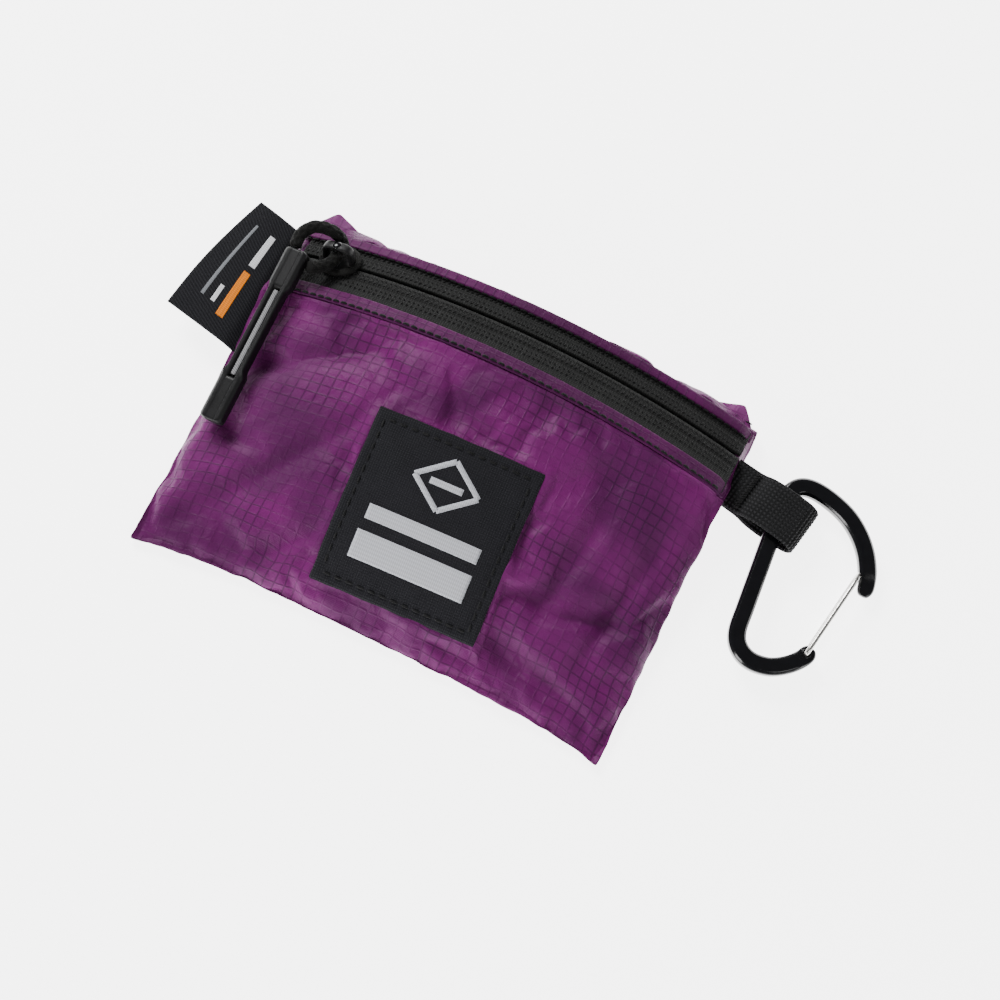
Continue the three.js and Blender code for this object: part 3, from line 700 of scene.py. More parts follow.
def patch_frame(x, y):
    """From the patch's own square to the front."""
    across, up = turned(x, y, PATCH_TURN)
    return PATCH_CENTRE[0] + across, PATCH_CENTRE[1] + up


def in_patch(x, y):
    """How far a point is inside the patch's square; negative outside."""
    across, up = turned(x - PATCH_CENTRE[0], y - PATCH_CENTRE[1], -PATCH_TURN)
    return PATCH_SIZE / 2 - max(abs(across), abs(up))


# ---- crumpled cloth -------------------------------------------------------------------------

CLOTH_SCALE = 10          # the cloth is settled ten times larger, where its solver is steadier
CLOTH_FRAMES = 26
CLOTH_SETTINGS = {
    "quality": 5,
    "mass": 0.25,
    "tension_stiffness": 20,
    "compression_stiffness": 20,
    "shear_stiffness": 8,
    "bending_stiffness": 0.8,
    "air_damping": 2,
    "pin_stiffness": 1.0,
    "use_pressure": True,
}


def grid_normals(points, columns, rows):
    """Unit normals of a grid of points, from its columns and rows."""
    p = np.array(points).reshape(columns, rows, 3)
    normal = np.cross(np.gradient(p, axis=0), np.gradient(p, axis=1))
    return (normal / np.linalg.norm(normal, axis=2)[:, :, None]).reshape(-1, 3)


def settle(points, faces, hold, growth, pressure):
    """Lets cloth that is a little too large for its outline buckle, and returns where its points come to.
    hold is 1 where a point is sewn down and lower where it may move."""
    mesh = bpy.data.meshes.new("settling")
    size = MM * CLOTH_SCALE
    mesh.from_pydata([tuple(c * size for c in p) for p in points], [], faces)
    cloth = bpy.data.objects.new("settling", mesh)
    bpy.context.scene.collection.objects.link(cloth)
    group = cloth.vertex_groups.new(name="hold")
    for index, weight in enumerate(hold):
        group.add([index], float(weight), "REPLACE")
    modifier = cloth.modifiers.new("cloth", "CLOTH")
    settings = modifier.settings
    for key, value in CLOTH_SETTINGS.items():
        setattr(settings, key, value)
    settings.vertex_group_mass = "hold"
    settings.shrink_min = -growth
    settings.uniform_pressure_force = pressure
    settings.effector_weights.gravity = 0
    modifier.collision_settings.use_collision = False
    modifier.point_cache.frame_start = 1
    modifier.point_cache.frame_end = CLOTH_FRAMES
    scene = bpy.context.scene
    for moment in range(1, CLOTH_FRAMES + 1):
        scene.frame_set(moment)
    settled = cloth.evaluated_get(bpy.context.evaluated_depsgraph_get()).data
    where = np.empty(len(points) * 3)
    settled.vertices.foreach_get("co", where)
    bpy.data.objects.remove(cloth)
    bpy.data.meshes.remove(mesh)
    scene.frame_set(1)
    return where.reshape(-1, 3) / size


def crumpled(points, columns, rows, hold, growth, pressure, inward, outward, stir):
    """Cloth points after settling, moved no further than inward or outward from where they began.
    stir picks the waves that the cloth starts with."""
    start = np.array(points)
    normals = grid_normals(points, columns, rows)
    waves = np.array([
        wander(x * 0.06, y * 0.06, stir) + 0.45 * wander(x * 0.16, y * 0.16, stir + 5) for x, y, _ in start
    ])
    loose = 1 - np.array(hold)
    stirred = start + normals * (waves * 1.6 * loose)[:, None]
    ended = settle(stirred, grid_faces(columns, rows), hold, growth, pressure)
    moved = ended - start
    rise = np.sum(moved * normals, axis=1)
    slide = np.clip(moved - normals * rise[:, None], -1.5, 1.5)
    limit = np.where(rise > 0, np.array(outward), np.array(inward))
    rise = limit * np.tanh(rise / limit)
    return start + normals * rise[:, None] + slide


# ---- the pouch ------------------------------------------------------------------------------

FRONT_GRID = (124, 68)
BACK_GRID = (110, 92)
CLOTH_THICKNESS = 0.22
PUCKER_REACH = 7
SEWN_WITHIN = 0.6
FRONT_RISE, FRONT_FLAT = 70, 74      # length up the front, as it lies and flat
BACK_RISE, BACK_FLAT = 84, 116       # the same for the back; its rise is as far as its turn
SEAM_EASE = 4.5           # over this distance the front and the back close on the seam
FRONT_CLOSES, BACK_CLOSES = 1.65, 1.55
FRONT_UNDER = 0.55        # the cloth's rest lies this far under the CAD skin, so that folds have room


def seam_wave(x, y):
    """Small puckers along the sewn edges."""
    return 0.55 * wander(x * 0.16, y * 0.16, 11.0) + 0.25 * wander(x * 0.5, y * 0.5, 14.0)


FOLDS = (
    # from, to, depth and half width of each long fold in the front
    ((-58, -42), (-22, 3), 2.2, 3.6),
    ((-40, -43), (-20, -24), 1.6, 2.4),
    ((-57, 2), (-30, 17), 1.7, 3.4),
    ((-44, 22), (-16, 10), 1.3, 3.0),
    ((24, 4), (40, 22), 1.6, 3.6),
    ((24, -30), (55, -40), 2.6, 2.4),
    ((12, -38), (44, -43), 1.8, 2.0),
    ((26, -20), (58, -14), 1.5, 3.0),
    ((38, 12), (33, -26), 2.1, 3.4),
    ((52, 6), (47, -30), 1.9, 3.0),
    ((-4, 9), (-10, 22), 1.0, 2.6),
)


def fold_depth(x, y):
    """How far the long folds press the front in at a point."""
    total = 0.0
    for start, end, depth, half_width in FOLDS:
        a, b, p = np.array(start), np.array(end), np.array([x, y])
        t = min(1.0, max(0.0, np.dot(p - a, b - a) / np.dot(b - a, b - a)))
        bend = 2.0 * math.sin(t * math.pi) * wander(start[0] * 0.1, t * 2, 81.0)
        off = np.linalg.norm(p - a - (b - a) * t) + bend
        total += depth * math.exp(-((off / half_width) ** 2)) * math.sin(math.pi * (0.12 + 0.76 * t))
    return total


def gathers(x, from_bottom):
    """Small pleats that run up from the bottom seam."""
    fade = smoothstep(from_bottom, 1, 4) * (1 - smoothstep(from_bottom, 5, 19))
    return 0.75 * wander(x * 0.19 + from_bottom * 0.05, from_bottom * 0.03, 17.0) * fade


def pucker(p, u, from_side, from_bottom, share=1.0):
    """Draws a point of cloth in or out, close to a sewn edge."""
    pull = seam_wave(p[0], p[1]) * (1 - smoothstep(min(from_side, from_bottom), 0, PUCKER_REACH)) * share
    p[0] += pull * (1 if u < 0.5 else -1) * (1 - smoothstep(from_side, 0, PUCKER_REACH))
    p[1] += pull * (1 - smoothstep(from_bottom, 0, PUCKER_REACH))


def cloth_piece(name, points, grid, flat, thickness=CLOTH_THICKNESS, paint="ripstop", faces=None):
    faces = faces or grid_faces(*grid)
    return piece(
        name, points, faces, paint, "pouch", "ripstop", flat=flat, thickness=thickness, subdivide=1,
    )


def front_cloth():
    points, flat, hold, inward, outward = [], [], [], [], []
    width = RIGHT_X - LEFT_X
    for u, b in lattice(*FRONT_GRID):
        p = front_point(u, b)
        from_side = min(u, 1 - u) * width
        from_bottom = b * FRONT_RISE
        top = (1 - b) * FRONT_RISE
        edge = min(from_side, from_bottom)
        close = 1 - smoothstep(edge, 0, SEAM_EASE)
        under = FRONT_UNDER * smoothstep(top, 0.5, 4) - 0.35 * (1 - smoothstep(top, 0, 2))
        inside_patch = in_patch(p[0], p[1])
        free = smoothstep(edge, 1, 9) * smoothstep(top, 3, 10) * smoothstep(-inside_patch, 0, 3)
        under *= 1 - smoothstep(inside_patch, -3, 0)
        under += fold_depth(p[0], p[1]) * free + max(-0.2, gathers(p[0], from_bottom))
        p[2] -= lerp(under, FRONT_CLOSES if from_side < from_bottom else 1.1, close)
        pucker(p, u, from_side, from_bottom)
        points.append(p)
        flat.append((u * width, b * FRONT_FLAT, 0.0))
        sewn = min(edge, top) < SEWN_WITHIN
        under_patch = smoothstep(in_patch(p[0], p[1]), -1.0, 1.2)
        hold.append(1.0 if sewn else max(0.02, 0.9 * under_patch, 0.3 * (1 - smoothstep(top, 0, 4))))
        outward.append(lerp(0.6, 0.12, max(under_patch, 1 - smoothstep(top, 0, 6))))
        inward.append(lerp(0.35, 1.6, smoothstep(edge, 4, 11)))
    settled = crumpled(points, *FRONT_GRID, hold, 0.055, 0.35, inward, outward, stir=2.0)
    made = cloth_piece("front_cloth", settled, FRONT_GRID, flat)
    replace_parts(made, "front_panel")
    return made


def back_cloth():
    points, flat, hold, outward = [], [], [], []
    width = RIGHT_X - LEFT_X
    for s, v in lattice(*BACK_GRID):
        u = 1 - s
        p = back_point(u, v)
        from_side = min(u, 1 - u) * width
        from_bottom = v / TURN_AT * BACK_RISE
        edge = min(from_side, from_bottom)
        side_part = 1 - smoothstep(v, 0.70, 0.80)
        p[2] += BACK_CLOSES * (1 - smoothstep(edge, 0, SEAM_EASE)) * side_part
        pucker(p, u, from_side, from_bottom, side_part)
        points.append(p)
        flat.append((u * width, v * BACK_FLAT, 0.0))
        sewn = edge < SEWN_WITHIN or v > 0.992
        resting = smoothstep(0.6 - p[2], 0, 0.5)
        hold.append(1.0 if sewn else max(0.06, 0.12 * resting))
        outward.append(lerp(0.9, 0.25, resting))
    settled = crumpled(points, *BACK_GRID, hold, 0.05, 0.3, 1.2, outward, stir=7.0)
    settled[:, 2] = np.maximum(settled[:, 2], 0.02)
    made = cloth_piece("back_cloth", settled, BACK_GRID, flat)
    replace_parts(made, "back_panel")
    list(ears())
    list(bindings())
    return made


def ear(name, root_left, root_right, tip_left, tip_right, peak, peak_at):
    """A loose folded corner of cloth that stands out behind one end of the zipper, two layers thick."""
    points, flat = [], []
    for s, t in lattice(22, 18):
        root = np.array([*[lerp(a, b, s) for a, b in zip(root_left, root_right)], 2.2])
        crest = peak * min(s / peak_at, (1 - s) / (1 - peak_at)) ** 0.9
        tip = np.array([*[lerp(a, b, s) for a, b in zip(tip_left, tip_right)], 3.4])
        p = lerp(root, tip, t) + np.array([0, crest * t, 0.8 * math.sin(math.pi * t)])
        p[2] += 0.5 * wander(p[0] * 0.3, p[1] * 0.3, 21.0) * t
        points.append(p)
        # the third part is the share of painted through-light, a pale lilac that grows towards the tip
        flat.append((p[0], p[1], 0.08 + 0.34 * smoothstep(t, 0.2, 0.9)))
    return cloth_piece(name, points, (22, 18), flat, thickness=0.35)


def binding(name, station, node):
    """A narrow tape over the raw edges inside a seam, halfway between the front and the back."""
    points = []
    for s, t in lattice(90, 8):
        inset = lerp(2.8, 5.6, t)
        x, y = station(s, inset)
        close = 1 - smoothstep(inset, 0, SEAM_EASE)
        front = front_point(*front_share(x, y))[2] - FRONT_CLOSES * close
        back = back_z(x, y) + BACK_CLOSES * close
        points.append((x, y, (front + back) / 2))
    made = piece(name, points, grid_faces(90, 8), "binding", "pouch", "seam_tape", thickness=0.25)
    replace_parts(made, node)
    return made


def bindings():
    def side(end, t, inset):
        y = lerp(BOTTOM_Y + 8, SIDE_TOP[1] - 2, t)
        return side_x(end, front_share(0, y)[1]) + (-inset if end else inset), y

    def bottom(t, inset):
        x = lerp(LEFT_X + 9, RIGHT_X - 9, t)
        return x, seam_y(x) + inset

    return [
        binding("left_binding", lambda t, inset: side(0, t, inset), "left_seam_binding"),
        binding("right_binding", lambda t, inset: side(1, t, inset), "right_seam_binding"),
        binding("bottom_binding", bottom, "bottom_seam_binding"),
    ]


def ears():
    return [
        ear("left_ear", (-60.2, 38.5), (-43.0, 40.0), (-60.6, 44.6), (-44.5, 45.0), 5.2, 0.27),
        ear("right_ear", (45.0, 40.0), (59.8, 38.5), (46.0, 45.6), (60.6, 42.6), 5.6, 0.66),
    ]


HEM_STATIONS = 150


def hem(name, near, far, sign, node, thickness):
    """A folded edge of cloth along the zipper, sewn down on the tape."""
    count = 14
    rings, flat = [], []
    low_x, high_x = LEFT_X + 0.5, RIGHT_X - 0.4
    for i in range(HEM_STATIONS):
        x = lerp(low_x, high_x, i / (HEM_STATIONS - 1))
        swell = 0.12 * wander(x * 0.35, near, 31.0) + 0.06 * wander(x * 1.1, near, 33.0)
        edge = 0.14 * wander(x * 0.12, far, 36.0)
        section = []
        for k in range(count):
            turn = 2 * math.pi * k / count
            reach = squared(math.cos(turn), 0.35)
            rise = squared(math.sin(turn), 0.6)
            across = (near + far) / 2 + reach * (far - near) / 2 + (edge if reach < 0 else 0)
            tuck = 1.5 * (1 - smoothstep(min(x - low_x, high_x - x), 0, 3.2))
            half = (GAP + thickness) / 2
            out = half - tuck + rise * (half + (swell if rise > 0 else 0))
            section.append(zip_edge(x, sign * across, out))
            # 0.06 is a little painted through-light in the ripstop
            flat.append((x, across, 0.06))
        rings.append(section if sign < 0 else section[::-1])
    points, faces = tube_mesh(rings)
    # painted with the darker copy of the ripstop: painted shade
    made = piece(name, points, faces, "layers", "pouch", "ripstop", flat=flat, subdivide=1)
    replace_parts(made, node)
    return made


def end_fold(name, inner_x, outer_x):
    """The cloth that wraps one end of the zipper down to the side seam."""
    grid = (16, 46)
    points, flat = [], []
    for s, t in lattice(*grid):
        across = lerp(-(HEM_LOWER[1] + 0.4), HEM_UPPER[1] + 0.9, t)
        x = lerp(inner_x, outer_x, s)
        top = zip_edge(x, across, -0.9)
        drop = smoothstep(s, 0.3, 1.0) ** 1.4
        seam = max(1.2, back_z(outer_x, top[1]) + 1.4)
        p = np.array([x, top[1], lerp(top[2], min(top[2], seam), drop)])
        p[2] += 0.22 * wander(x * 0.4, top[1] * 0.4, 41.0) * math.sin(math.pi * s)
        points.append(p)
        # 0.05 is a little painted through-light in the ripstop
        flat.append((x, top[1], 0.05))
    faces = grid_faces(*grid)
    if outer_x < inner_x:
        faces = flipped(faces)
    # painted with the darker copy of the ripstop: painted shade
    return cloth_piece(name, points, grid, flat, paint="layers", faces=faces)


# ---- stitches -------------------------------------------------------------------------------

STITCH_PROFILE = (
    # share of the length, share of the radius, height over the cloth in radii
    (0, 0.35, -1.0), (0.1, 0.8, -0.1), (0.3, 1, 0.35), (0.7, 1, 0.35), (0.9, 0.8, -0.1), (1, 0.35, -1.0),
)


def stitch(start, end, normal, radius):
    """One stitch: a short thread that dips into the cloth at both ends."""
    start, end, normal = (np.array(v, dtype=float) for v in (start, end, normal))
    side = np.cross(normal, unit(end - start))
    rings = []
    for t, width, lift in STITCH_PROFILE:
        middle = start + (end - start) * t + normal * radius * lift
        rings.append(ring(middle, side, normal, radius * width, radius * width * 0.8, 8))
    return tube_mesh(rings)


def stitch_row(line, normals, length, pitch, radius):
    """Stitches one after the other along a line."""
    line, normals = np.array(line), np.array(normals)
    along = distances(line)

    def at(values, distance):
        return np.array([np.interp(distance, along, values[:, k]) for k in range(3)])

    parts = []
    here = 0.4
    while here + length < along[-1]:
        parts.append(stitch(at(line, here), at(line, here + length), at(normals, here), radius))
        here += pitch
    return parts


def sewing(name, parts, body="pouch"):
    """Stitches as one piece."""
    return piece(name, *joined(parts), "thread", body, "thread")


def hem_stitching():
    for name, across, node, height, length, radius in (
        ("front_topstitch", -(HEM_LOWER[1] - 0.2), "front_hem_topstitch", 1.0, 1.85, 0.32),
        ("back_topstitch", HEM_UPPER[0] - 0.1, "back_hem_topstitch", 0.3, 1.95, 0.26),
    ):
        xs = np.linspace(LEFT_X + 1.5, RIGHT_X - 1.5, 120)
        line = [zip_edge(x, across + 0.1 * wander(x * 0.2, 0, 51.0), GAP + height - 0.15) for x in xs]
        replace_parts(sewing(name, stitch_row(line, [OUT for _ in xs], length, 2.1, radius)), node)


# ---- zipper ---------------------------------------------------------------------------------

TAPE_EDGE = 0.45          # half of the slit that shows between the two tapes


def tape(name, reach, sign, node):
    """One knitted tape: a raised lip at the slit, a ribbed band over the coil, then flat knit."""
    grid = (420, 34)
    points, flat = [], []
    for s, t in lattice(*grid):
        x = lerp(TAPE_ENDS[0], TAPE_ENDS[1], s)
        across = lerp(TAPE_EDGE, reach, t)
        lip = 0.28 * math.exp(-((across - 0.75) / 0.45) ** 2)
        band = smoothstep(across, 1.1, 1.6) * (1 - smoothstep(across, 3.1, 3.6))
        ribs = 0.13 * band * math.sin(2 * math.pi * x / COIL_PITCH + across * 1.1)
        channel = -0.16 * math.exp(-((across - 3.9) / 0.35) ** 2)
        dip = -0.25 * math.exp(-((across - TAPE_EDGE) / 0.12) ** 2)
        out = lip + ribs + channel + 0.12 * band + dip
        row = round(t * (grid[1] - 1))
        if row == 0:
            out = -0.9
        elif row == 1:
            across = TAPE_EDGE + 0.02
            out = -0.1
        points.append(zip_point(zip_angle(x), sign * across, out))
        flat.append((x, sign * across, 0.0))
    faces = grid_faces(*grid)
    if sign < 0:
        faces = flipped(faces)
    made = piece(name, points, faces, "tape", "pouch", "zipper_tape", flat=flat, thickness=0.45)
    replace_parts(made, node)
    return made


COIL_ROWS = (
    # distance from the slit, slant and length of the stitches in each row
    (1.55, 0.55, 1.0),
    (3.0, -0.5, 0.95),
    (4.75, 0.45, 0.8),
    (6.1, -0.4, 0.6),
)
COIL_PITCH = 1.25


def tape_stitches():
    """Rows of short slanting threads that hold the coils to the tapes."""
    parts = []
    for sign in (-1, 1):
        for across, slant, length in COIL_ROWS:
            if sign > 0 and across > 4.9:
                continue
            x = TAPE_ENDS[0] + 1.0
            while x < TAPE_ENDS[1] - 1.2:
                middle = zip_angle(x)
                half = slant / 2 / ZIP_RADIUS * 1.2
                a = zip_point(middle - half, sign * (across - length * 0.36), 0.22)
                b = zip_point(middle + half, sign * (across + length * 0.36), 0.22)
                parts.append(stitch(a, b, zip_point(middle, 0, 1) - zip_point(middle, 0, 0), 0.17))
                x += COIL_PITCH
    return sewing("tape_stitches", parts)


SLAB_SIDES = 44


def on_slider(x, across, out):
    """A point drawn round the slider's own centre, put on the arc."""
    angle = zip_angle(SLIDER_X)
    centre = zip_point(angle, 0, 0)
    outward = zip_point(angle, 0, 1) - centre
    along = np.cross(ACROSS, outward)
    return centre + x * along + across * ACROSS + out * outward


def slab(half_length, half_width, low, high, power, bevel, pinch=0.0):
    """A plate with a rounded outline and soft edges, drawn round the slider's centre.
    pinch is how much it narrows towards its right end."""
    rings = []
    for inset, level in (
        (half_width, low), (bevel, low), (bevel * 0.3, low + bevel * 0.3), (0, low + bevel),
        (0, high - bevel), (bevel * 0.3, high - bevel * 0.3), (bevel, high),
        (half_width * 0.55, high + 0.12), (half_width * 0.97, high + 0.15),
    ):
        outline = []
        for k in range(SLAB_SIDES):
            turn = 2 * math.pi * k / SLAB_SIDES
            x = squared(math.cos(turn), power) * max(0.1, half_length - inset)
            narrow = 1 - pinch * smoothstep(x / half_length, -0.2, 1.0)
            y = squared(math.sin(turn), power) * max(0.1, half_width - inset) * narrow
            outline.append(on_slider(x, y, level))
        rings.append(outline)
    return tube_mesh(rings)


def slider_pieces():
    top = slab(5.2, 4.4, GAP, 1.3, 0.85, 0.35, 0.08)
    low = slab(4.6, 3.7, -3.85, -2.75, 0.62, 0.35, 0.12)
    neck = slab(1.75, 0.38, -2.9, 0.5, 0.5, 0.08)
    body = piece("slider", *joined([top, low, neck]), "satin", "slider", "slider_metal")
    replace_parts(body, "slider_body")
    arch_line = catmull([
        (-3.45, 0, 1.2), (-3.5, 0, 3.2), (-3.3, 0, 5.0), (-2.3, 0, 5.85), (0, 0, 6.05),
        (2.3, 0, 5.85), (3.3, 0, 5.0), (3.5, 0, 3.2), (3.45, 0, 1.2),
    ], 6)
    line = [on_slider(*p) for p in arch_line]
    _, side, top_side = frames_along(line, ACROSS)
    turns = [2 * math.pi * k / 16 for k in range(16)]
    section = [(0.62 * squared(math.cos(a), 0.6), 1.25 * squared(math.sin(a), 0.6)) for a in turns]
    rings = [[p + x * s + y * n for x, y in section] for p, s, n in zip(line, side, top_side)]
    bridge = piece("slider_arch", *tube_mesh(rings), "satin", "slider", "slider_metal", subdivide=1)
    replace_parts(bridge, "slider_bridge")
    stud = slab(1.25, 1.25, 5.7, 6.8, 1.0, 0.4)
    piece("slider_stud", *stud, "metal", "slider", "slider_metal", subdivide=1)
    turns = [2 * math.pi * k / 96 for k in range(97)]
    collar = [on_slider(4.6 * math.cos(a), 4.1 * math.sin(a), 1.08) for a in turns]
    points, faces = tube_mesh(braided(collar, 0.95, 0.6, OUT), capped=False)
    piece("slider_collar", points, faces, "cord", "slider", "cord", flat=points)


def braided(line, half_width, half_height, up):
    """Rings of a flattened braid whose strands cross over each other, along a closed line."""
    _, side, top = frames_along(line, up)
    rings = []
    for i, (p, s, t) in enumerate(zip(np.array(line), side, top)):
        phase = 2 * math.pi * i / 8

        def swell(turn):
            return 0.93 + 0.07 * max(math.cos(4 * turn + phase), math.cos(4 * turn - phase))

        rings.append(ring(p, s, t, half_width, half_height, 30, swell))
    return rings


def round_rings(line, radius, count, up):
    _, side, top = frames_along(line, up)
    return [ring(p, s, t, radius, radius, count) for p, s, t in zip(np.array(line), side, top)]


# ---- cord and grip --------------------------------------------------------------------------

CORD_RADIUS = 1.58
CORD_STEP = 0.16
CORD_SIDES = 40
GRIP_TOP = np.array([-57.6, 32.6, 16.05])
GRIP_DIP = math.radians(5.2)
GRIP_ROLL = math.radians(-15)
GRIP_LENGTH = 47
GRIP_HALF_THICK = 1.6
STRIP_TOP, STRIP_BOTTOM = -11, -35


def cord_route():
    under = zip_point(zip_angle(SLIDER_X), 0, 3.4)
    gx, _, gz = GRIP_TOP
    return catmull([
        (gx - 1.5, 33.3, gz), (gx - 1.6, 36.8, gz), (gx + 0.6, 40.1, gz - 0.5),
        (gx + 4.8, 41.2, gz - 1.6),
        (under[0] - 0.7, 40.5, under[2] - 1.0), tuple(under), (under[0] - 0.7, 33.4, under[2] + 1.4),
        (under[0] - 2.9, 30.4, gz - 0.1), (gx + 4.3, 29.6, gz + 0.9),
    ], 8)


def turned_frames(line):
    """A side and a top for each point of a line, carried along without twist."""
    p = np.array(line)
    tangents = np.gradient(p, axis=0)
    tangents /= np.linalg.norm(tangents, axis=1)[:, None]
    side = unit(np.cross(tangents[0], (0, 0, 1)))
    sides = []
    for t in tangents:
        side = unit(side - t * np.dot(side, t))
        sides.append(side)
    sides = np.array(sides)
    return sides, np.cross(tangents, sides)


def pull_cord():
    """A braided cord: strands that cross over each other round the core."""
    line = even(cord_route(), CORD_STEP)
    rings = []
    for i, (p, s, t) in enumerate(zip(line, *turned_frames(line))):
        phase = i * CORD_STEP * 2.6

        def radius(turn):
            return CORD_RADIUS * 0.93 + 0.13 * max(math.cos(5 * turn + phase), math.cos(5 * turn - phase))

        rings.append(ring(p, s, t, 1, 1, CORD_SIDES, radius))
    points, faces = tube_mesh(rings)
    flat = [(j % CORD_SIDES * 0.2, j // CORD_SIDES * CORD_STEP, 0) for j in range(len(points))]
    made = piece("braided_cord", points, faces, "cord", "pull", "cord", flat=flat)
    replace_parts(made, "pull_cord")


def place_grip(x, y, z):
    """From the grip's own space (y along it, z out of its face) to where it lies."""
    x, z = turned(x, z, -GRIP_ROLL)
    y, z = turned(y, z, GRIP_DIP)
    return GRIP_TOP + np.array([x, y, z])


def grip_half_width(y):
    """The grip's outline: a head at each end and a narrow shaft."""
    upper = smoothstep(y, -11.6, -9.4)
    lower = 1 - smoothstep(y, 12.4 - GRIP_LENGTH, 14.6 - GRIP_LENGTH)
    return 2.35 + 0.75 * max(upper, lower)


def grip_ring(y, shrink):
    """One section of the grip, with the channel for the strip where it has one."""
    w, h = grip_half_width(y) * shrink, GRIP_HALF_THICK * min(1.0, shrink + 0.12)
    past_bottom = smoothstep(y, STRIP_BOTTOM - 0.5, STRIP_BOTTOM)
    deep = 1.35 * past_bottom * (1 - smoothstep(y, STRIP_TOP, STRIP_TOP + 0.5))
    head = max(smoothstep(y, -11.2, -9.9), 1 - smoothstep(y, 11.6 - GRIP_LENGTH, 13.0 - GRIP_LENGTH))
    facet = lerp(0.25, 0.85, head)
    channel = min(1.08, w * 0.5)
    half = [
        (w - 0.55, -h), (w - 0.18, -h + 0.14), (w, -h + 0.5), (w, h - 0.75), (w - 0.12, h - 0.4),
        (w - facet, h - 0.04), (w - facet - 0.15, h), (channel + 0.16, h), (channel, h - 0.12),
        (channel, h - deep - 0.1), (channel * 0.9, h - deep - 0.1),
    ]
    right = [place_grip(x, y, z) for x, z in half]
    left = [place_grip(-x, y, z) for x, z in reversed(half)]
    return right + left


def pull_grip():
    rounding = ((0.0, 0.55), (0.12, 0.72), (0.35, 0.88), (0.7, 0.97), (1.1, 1.0))
    stations = [(-d, share) for d, share in rounding]
    stations += [(y, 1.0) for y in np.arange(-1.8, -GRIP_LENGTH + 1.2, -0.42)]
    stations += [(d - GRIP_LENGTH, share) for d, share in reversed(rounding)]
    rings = [grip_ring(y, share) for y, share in reversed(stations)]
    grip = piece("grip", *tube_mesh(rings), "moulded", "grip", "grip_plastic")
    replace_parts(grip, "pull_grip")
    half = [(0.72, 0.35), (0.72, 1.05), (0.5, 1.22)]
    section = [(-0.72, 0.35), *half, (0, 1.27), (-0.5, 1.22), (-0.72, 1.05)]
    rings = []
    for y in np.linspace(STRIP_BOTTOM + 0.35, STRIP_TOP - 0.35, 60):
        rings.append([place_grip(x, y, z + 0.05 * math.sin(y * 5.5)) for x, z in section])
    strip = piece("grip_strip", *tube_mesh(rings), "strip", "grip", "inlay", subdivide=1)
    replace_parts(strip, "grip_inlay")


# ---- patch ----------------------------------------------------------------------------------

PATCH_TOP = 0.62
PATCH_SEAM = 2.5          # from the patch's edge to its stitches
PRINT_TOP = PATCH_TOP + 0.10


def on_patch(x, y, height):
    return over_front(*patch_frame(x, y), height + 0.1 * wander(x * 0.09, y * 0.09, 61.0))


def patch_sewing():
    """Stitches along the four sides of the patch."""
    parts = []
    inset = PATCH_SIZE / 2 - PATCH_SEAM
    corners = [(-inset, -inset), (inset, -inset), (inset, inset), (-inset, inset)]
    for k in range(4):
        start, end = corners[k], corners[(k + 1) % 4]
        spots = [(lerp(start[0], end[0], t), lerp(start[1], end[1], t)) for t in np.linspace(0, 1, 24)]
        line = [on_patch(x, y, PATCH_TOP - 0.06) for x, y in spots]
        normals = [on_patch(x, y, 1) - on_patch(x, y, 0) for x, y in spots]
        parts += stitch_row(line, normals, 2.1, 2.9, 0.29)
    made = sewing("patch_sewing", parts)
    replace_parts(made, "patch_stitching")
    return made


def patch():
    grid = (56, 56)
    half = PATCH_SIZE / 2
    points, flat = [], []
    for s, t in lattice(*grid):
        x, y = lerp(-half, half, s), lerp(-half, half, t)
        near = half - max(abs(x), abs(y))
        seam = math.exp(-((near - PATCH_SEAM) / 0.6) ** 2)
        corner = 0.18 * max(0.0, (abs(x) + abs(y)) / half - 1.6)
        height = PATCH_TOP - 0.16 * seam - 0.25 * (1 - smoothstep(near, 0, 0.5)) + corner
        x += 0.18 * wander(0, y * 0.2, 63.0) * (abs(x) / half) ** 8
        y += 0.18 * wander(x * 0.2, 0, 66.0) * (abs(y) / half) ** 8
        points.append(on_patch(x, y, height))
        flat.append((x, y, 0))
    made = piece(
        "patch", points, grid_faces(*grid), "patch", "pouch", "patch_weave",
        flat=flat, thickness=0.55, subdivide=1,
    )
    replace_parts(made, "front_patch")
    on_it = [patch_sewing(), *patch_print()]


def patch_bar(name, start, end, width):
    """A flat printed bar on the patch, from one point to another."""
    a, b = np.array(start, dtype=float), np.array(end, dtype=float)
    length = np.linalg.norm(b - a)
    along = (b - a) / length
    side = np.array([-along[1], along[0]])
    grid = (max(4, int(length / 0.8)), max(3, int(width / 0.5)))
    flat = [(*(a + along * length * s - side * width * (t - 0.5)), 0) for s, t in lattice(*grid)]
    points = [on_patch(x, y, PRINT_TOP) for x, y, _ in flat]
    faces = flipped(grid_faces(*grid))
    return piece(name, points, faces, "print", "pouch", "patch_weave", flat=flat, thickness=0.14)


def patch_print():
    """A plain generic device: a rhombus outline over two bars."""
    x, y = 1.0, 9.6
    wide, tall = 8.2, 6.2
    tips = [(x - wide, y), (x, y - tall), (x + wide, y), (x, y + tall)]
    bars = [patch_bar(f"device_side_{k + 1}", tips[k], tips[(k + 1) % 4], 1.3) for k in range(4)]
    bars.append(patch_bar("device_middle", (x - 4.2, y), (x + 4.2, y), 1.6))
    bars.append(patch_bar("upper_bar", (-14.2, -2.4), (14.6, -2.4), 3.6))
    bars.append(patch_bar("lower_bar", (-14.6, -10.2), (14.9, -10.2), 6.6))
    return bars


# ---- side tag -------------------------------------------------------------------------------

TAG_ROOT_X = -60.6
TAG_TOP, TAG_BOTTOM = (-74.6, 43.0), (-83.2, 9.4)
TAG_Z = 7.1
TAG_WIDTH, TAG_LENGTH = 20, 36


